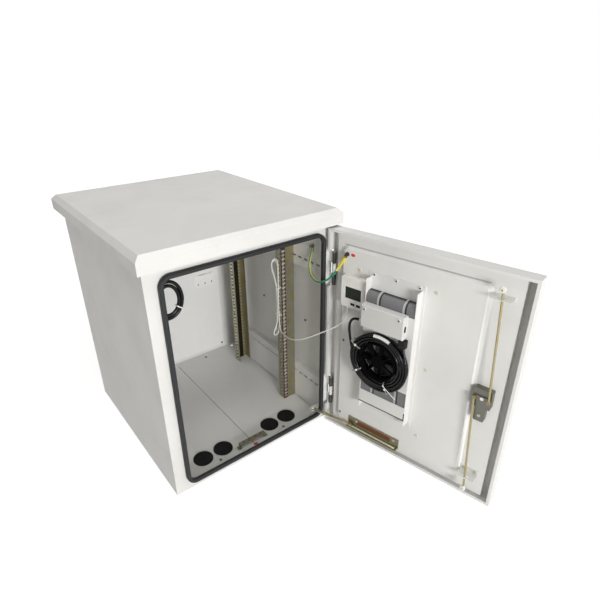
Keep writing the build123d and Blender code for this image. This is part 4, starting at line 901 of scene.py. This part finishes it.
def tie_band(name, middle, across, through, half, body, finish="tie"):
    """Cable tie: a flat band carried round a squarish loop. The loop is middle + half[0] c across +
    half[1] s through, with c and s the cosine and sine raised to 2 / square, keeping their signs; the
    band's section is a rectangle, tie-thick outwards and tie-wide along the third direction."""
    angle = np.linspace(0, 2 * math.pi, TIE_STEPS, endpoint=False)
    loop = signed_power(np.stack((np.cos(angle), np.sin(angle)), 1), 2 / TIE_SQUARE)
    along = np.cross(across, through)
    corners = np.array(((0, -1), (1, -1), (1, 1), (0, 1))) * (TIE_T, TIE_W / 2)
    reach = loop[:, None] * (np.array(half) + corners[None, :, :1])
    grid = reach[..., :1] * across + reach[..., 1:] * through + corners[None, :, 1:] * along
    band = surface_piece(name, np.array(middle) + grid * MM, finish, body, wrap_u=True, wrap_v=True)
    band.data.polygons.foreach_set("use_smooth", np.zeros(len(band.data.polygons), bool))


def rounded_block(name, middle, axes, half, finish, body):
    """Rounded block on three given axes: the superellipsoid whose cosines and sines of latitude and longitude
    are raised to 2 / square, keeping their signs."""
    latitude = np.linspace(-math.pi / 2, math.pi / 2, BLOCK_STEPS[0])
    longitude = np.linspace(-math.pi, math.pi, BLOCK_STEPS[1], endpoint=False)
    u, v = np.meshgrid(latitude, longitude, indexing="ij")
    power = 2 / BLOCK_SQUARE
    ring = signed_power(np.cos(u), power)
    x = ring * signed_power(np.cos(v), power) * half[0]
    y = ring * signed_power(np.sin(v), power) * half[1]
    z = signed_power(np.sin(u), power) * half[2]
    grid = x[..., None] * axes[0] + y[..., None] * axes[1] + z[..., None] * axes[2]
    block = surface_piece(name, np.array(middle) + grid * MM, finish, body, wrap_v=True)


def stuck_mark(name, place, half, finish, body):
    """Thin oval mark: rings of an ellipse that rise from its rim to a low flat dome, whose height is its
    thickness times 1 less a power of the ring's share of the rim."""
    shares = np.linspace(1, MARK_CENTRE, MARK_STEPS[0])
    angles = np.linspace(0, 2 * math.pi, MARK_STEPS[1], endpoint=False)
    share, angle = np.meshgrid(shares, angles, indexing="ij")
    u = share * np.cos(angle) * half[0]
    v = share * np.sin(angle) * half[1]
    rise = MARK_T * (1 - share ** MARK_POWER)
    mark = surface_piece(name, place(u, v, rise), finish, body, wrap_v=True)


# Cords


def earth_wire():
    """Earth wire from the cabinet's stud to the door's, with a shrunk yellow sleeve that widens to its
    lug."""
    path = spline_points("earth_wire", cabinet_points(EARTH_ROUTE))
    grid, uv = tube_grid(path, EARTH_R)
    wire = surface_piece("earth_wire_cord", grid, "earth", None, wrap_v=True, caps=True, uv=uv)
    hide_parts("earth_wire")
    second_half = np.arange(len(path)) > len(path) / 2
    first = int(np.argmax(second_half & (path[:, 2] > EARTH_SLEEVE_LOW * MM)))
    grid, _ = tube_grid(path[first:], np.linspace(*EARTH_SLEEVE_R, len(path) - first))
    sleeve = surface_piece("earth_wire_sleeve", grid, "sleeve", None, wrap_v=True, caps=True)
    for piece in (wire, sleeve):
        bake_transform(piece)


def sensor_lead():
    """White lead from the controller to the rail, its spare length folded there, ending in a slim probe."""
    path = spline_points("sensor_lead", cabinet_points(SENSOR_ROUTE + HANK_ROUTE))
    run = lengths_along(path)
    left = (run[-1] - run) / MM
    rise = np.clip((SENSOR_TIP_L - left) / SENSOR_TIP_R, 0, 1)
    tip_round = np.sqrt(np.clip(left / SENSOR_TIP_R, SENSOR_TIP_END, 1))
    grid, uv = tube_grid(path, (SENSOR_R + (SENSOR_TIP_R - SENSOR_R) * rise) * tip_round)
    lead = surface_piece("sensor_lead_cord", grid, "white_cable", None, wrap_v=True, caps=True, uv=uv)
    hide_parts("sensor_lead", "sensor_hank")
    door_end, rail_end = cabinet_points([SENSOR_ROUTE[number] for number in SENSOR_BLEND]) * LEVEL_PLANE
    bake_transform(lead)
    for number, place in enumerate(HANK_TIES, 1):
        tie_band(f"hank_tie_{number}", cabinet_points(place), X_AXIS, Y_AXIS, HANK_TIE_HALF, "cabinet")


def coil_spots(place):
    """Coil points at a place counted in turns: the radius runs inward through the back layer, waits while
    the lead crosses to the front layer, and runs outward there. A waver of the radius that depends on the
    angle alone keeps neighbours apart, and one of the depth lets the turns lie loosely."""
    back_end = COIL_LAYER_TURNS
    front_start = back_end + COIL_CROSS_TURNS
    knots = (0, back_end, front_start, front_start + COIL_LAYER_TURNS)
    outer, inner = COIL_RADII
    radius = np.interp(place, knots, (outer, inner, inner, outer))
    depth = np.interp(place, knots[1:3], COIL_DEPTHS)
    angle = math.pi + 2 * math.pi * place
    radius = radius + COIL_WAVER[0] * np.sin(2 * angle + COIL_WAVER_PHASE)
    loose = np.interp(place, knots[1:3], COIL_LOOSE)
    depth = depth + COIL_WAVER[1] * loose * np.sin(angle + COIL_WAVER_DRIFT * place)
    s = COIL_MIDDLE[0] + radius * np.cos(angle)
    z = COIL_MIDDLE[1] + radius * np.sin(angle)
    return np.stack((s, depth, z), -1)


def coil_direction(degrees):
    """Unit vectors outward and through the door at one angle of the coil."""
    angle = math.radians(degrees)
    s, z = COIL_MIDDLE
    middle, out, deep = door_points(((s, 0, z), (s + math.cos(angle), 0, z + math.sin(angle)), (s, -1, z)))
    return (out - middle) / MM, (deep - middle) / MM


def power_lead():
    """Black lead from the gland, round the fan in a coil and up to its connector, with a plain white
    label on one strand."""
    turns = 2 * COIL_LAYER_TURNS + COIL_CROSS_TURNS + COIL_END_TURNS
    place = np.linspace(COIL_START, turns, int(turns * COIL_POINTS))
    route = door_points(np.concatenate((np.array(LEAD_ROUTE), coil_spots(place), np.array(COIL_END))))
    lead = spline("power_lead_cord", route, LEAD_R)
    lead.data.materials.append(MATERIALS["black_cable"])
    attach(lead, "door")
    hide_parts("power_lead", "power_coil")
    path = spline_points("power_lead", route)
    ends = door_points(coil_spots(np.array(COIL_LABEL)))
    first, last = (int(np.argmin(np.linalg.norm(path - end, axis=1))) for end in ends)
    grid, _ = tube_grid(path[first:last + 1], LABEL_R)
    label = surface_piece("lead_label", grid, "label", "door", wrap_v=True, caps=True)


def coil_ties():
    """Three ties round the coil, each with its head on the front, and one tie's cut tail."""
    mean = sum(COIL_RADII) / 2
    for number, degrees in enumerate(COIL_TIE_ANGLES, 1):
        angle = math.radians(degrees)
        s = COIL_MIDDLE[0] + mean * math.cos(angle)
        z = COIL_MIDDLE[1] + mean * math.sin(angle)
        middle = door_points((s, COIL_TIE_DEPTH, z))
        out, deep = coil_direction(degrees)
        tie_band(f"coil_tie_{number}", middle, out, deep, COIL_TIE_HALF, "door", "tie_clear")
        top = middle + deep * (COIL_TIE_HALF[1] + TIE_HEAD[1] / 2) * MM
        axes = (out, deep, np.cross(out, deep))
        rounded_block(f"coil_tie_head_{number}", top, axes, TIE_HEAD, "tie", "door")
    path = spline_points("coil_tie_tail", door_points(TIE_TAIL))
    side, up = frames_along(path)
    corners = np.array(((-1, -1), (1, -1), (1, 1), (-1, 1))) * (TIE_W / 2, TIE_T / 2) * MM
    grid = path[:, None] + corners[None, :, :1] * side[:, None] + corners[None, :, 1:] * up[:, None]
    tail = surface_piece("coil_tie_tail", grid, "tie", "door", wrap_v=True, caps=True)


def box_grip():
    """Black edging in the control box's cable slot."""
    middle, half = BOX_GRIP
    base, across, deep = door_points((middle, np.add(middle, X_AXIS), np.add(middle, Y_AXIS)))
    axes = ((across - base) / MM, (deep - base) / MM, Z_AXIS)
    rounded_block("box_slot_grip", base, axes, half, "black_shell", "door")


def loop_spots(place):
    """Spare cable's loop at a place counted in turns: an oval that closes in by one strand a turn, with a
    slow waver of its depth."""
    angle = math.pi + 2 * math.pi * place
    x = LOOP_MIDDLE[0] + (LOOP_HALF[0] - LOOP_STEP * place) * np.cos(angle)
    y = LOOP_MIDDLE[1] + LOOP_WAVER * np.sin(math.pi * place)
    z = LOOP_MIDDLE[2] + (LOOP_HALF[1] - LOOP_STEP * place) * np.sin(angle)
    return np.stack((x, y, z), -1)


def spare_loop():
    """Spare cable in an upright loop against the wall, with one tie."""
    place = np.linspace(0, LOOP_TURNS, int(LOOP_TURNS * LOOP_POINTS) + 1)
    route = cabinet_points(loop_spots(place))
    loop = spline("spare_loop_cord", route, LOOP_R)
    loop.data.materials.append(MATERIALS["black_cable"])
    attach(loop, "cabinet")
    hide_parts("spare_loop")
    path = spline_points("spare_loop", route)
    strands = cabinet_points(loop_spots(np.array((LOOP_TIE_PLACE, LOOP_TIE_PLACE + 1))))
    out = (strands[0] - strands[1]) * UPRIGHT_PLANE
    tie_band("loop_tie", strands.mean(axis=0), out / np.linalg.norm(out), Y_AXIS, LOOP_TIE_HALF, "cabinet")


def marks():
    """Red earth marks on the door's panel and on the floor."""
    def on_door(u, v, rise):
        return door_points(np.stack((DOOR_MARK[0] + u, DOOR_MARK[1] - rise, DOOR_MARK[2] + v), -1))

    def on_floor(u, v, rise):
        return cabinet_points(np.stack((FLOOR_MARK[0] + u, FLOOR_MARK[1] + v, FLOOR_MARK[2] + rise), -1))

    stuck_mark("door_earth_mark", on_door, DOOR_MARK_HALF, "mark", "door")
    stuck_mark("floor_earth_mark", on_floor, FLOOR_MARK_HALF, "mark", "cabinet")


# Stage


def camera():
    """Camera from its fitted yaw, pitch and roll: right, up and backward axes as the matrix's columns."""
    level = math.cos(CAMERA_PITCH)
    forward = Vector((math.sin(CAMERA_YAW) * level, math.cos(CAMERA_YAW) * level, math.sin(CAMERA_PITCH)))
    right = Vector((math.cos(CAMERA_YAW), -math.sin(CAMERA_YAW), 0))
    up = right.cross(forward)
    cos, sin = math.cos(CAMERA_ROLL), math.sin(CAMERA_ROLL)
    rolled_right = right * cos + up * sin
    rolled_up = up * cos - right * sin
    data = bpy.data.cameras.new("camera")
    data.sensor_width = CAMERA_SENSOR
    data.lens = CAMERA_LENS
    data.clip_start, data.clip_end = CAMERA_CLIP
    piece = bpy.data.objects.new("camera", data)
    bpy.context.collection.objects.link(piece)
    turn = Matrix((rolled_right, rolled_up, -forward)).transposed().to_4x4()
    piece.matrix_world = Matrix.Translation(Vector(CAMERA_AT) * MM) @ turn
    bpy.context.scene.camera = piece


def area_light(name, place, size, power):
    """Square light aimed at one place in the part."""
    data = bpy.data.lights.new(name, "AREA")
    data.size = size * MM
    data.energy = power
    data.color = LIGHT_COLOUR
    piece = bpy.data.objects.new(name, data)
    bpy.context.collection.objects.link(piece)
    piece.location = Vector(place) * MM
    heading = Vector(LIGHT_TARGET) * MM - piece.location
    piece.rotation_euler = heading.to_track_quat("-Z", "Y").to_euler()


def seen_directly(tree):
    """1 for rays from the camera, from a glossy surface or through a clear one, and 0 for lighting rays."""
    rays = tree.nodes.new("ShaderNodeLightPath").outputs
    return largest(tree, [rays[f"Is {kind} Ray"] for kind in ("Camera", "Glossy", "Transmission")])


def mix_shader(tree, share, first, second):
    """Two shaders mixed by a share."""
    mix = tree.nodes.new("ShaderNodeMixShader")
    for value, socket in zip((share, first, second), mix.inputs):
        tree.links.new(value, socket)
    return mix.outputs["Shader"]


def world():
    """Soft even light that is seen directly as plain white."""
    place = bpy.data.worlds.new("studio")
    bpy.context.scene.world = place
    place.use_nodes = True
    tree = place.node_tree
    soft = tree.nodes["Background"]
    soft.inputs["Color"].default_value = (*WORLD_COLOUR, 1)
    soft.inputs["Strength"].default_value = WORLD_STRENGTH
    white = tree.nodes.new("ShaderNodeBackground")
    white.inputs["Color"].default_value = BACKDROP_COLOUR
    mixed = mix_shader(tree, seen_directly(tree), soft.outputs["Background"], white.outputs["Background"])
    tree.links.new(mixed, tree.nodes["World Output"].inputs["Surface"])


def floor_material():
    """Pale floor that lights the object as a plain surface, and that is seen as white with its shadow: a
    glow that grows to full white away from the object, plus a share of the plain surface."""
    material = bpy.data.materials.new("studio_floor")
    material.use_nodes = True
    tree = material.node_tree
    plain = tree.nodes["Principled BSDF"]
    plain.inputs["Base Color"].default_value = (*FLOOR_COLOUR, 1)
    plain.inputs["Roughness"].default_value = FLOOR_ROUGH
    away = vector_node(tree, "LENGTH", object_place(tree))
    glow = tree.nodes.new("ShaderNodeEmission")
    glow.inputs["Color"].default_value = BACKDROP_COLOUR
    tree.links.new(remap(tree, away, *FLOOR_GLOW_REACH, *FLOOR_GLOW), glow.inputs["Strength"])
    shaded = tree.nodes.new("ShaderNodeBsdfDiffuse")
    shaded.inputs["Color"].default_value = (FLOOR_SHADOW_SHARE,) * 3 + (1,)
    both = tree.nodes.new("ShaderNodeAddShader")
    tree.links.new(glow.outputs["Emission"], both.inputs[0])
    tree.links.new(shaded.outputs["BSDF"], both.inputs[1])
    mixed = mix_shader(tree, seen_directly(tree), plain.outputs["BSDF"], both.outputs["Shader"])
    tree.links.new(mixed, tree.nodes["Material Output"].inputs["Surface"])
    return material


def floor():
    """Flat square grid at the base's height."""
    line = np.linspace(-FLOOR_SIZE / 2, FLOOR_SIZE / 2, FLOOR_POINTS) * MM
    u, v = np.meshgrid(line, line, indexing="ij")
    MATERIALS["floor"] = floor_material()
    surface_piece("studio_floor", np.stack((u, v, np.zeros_like(u)), -1), "floor", None)


bpy.context.scene.view_settings.view_transform = "Standard"
camera()
world()
floor()
area_light("key", *KEY_LIGHT)
area_light("top", *TOP_LIGHT)
finish_nodes()
earth_wire()
sensor_lead()
power_lead()
coil_ties()
box_grip()
spare_loop()
marks()
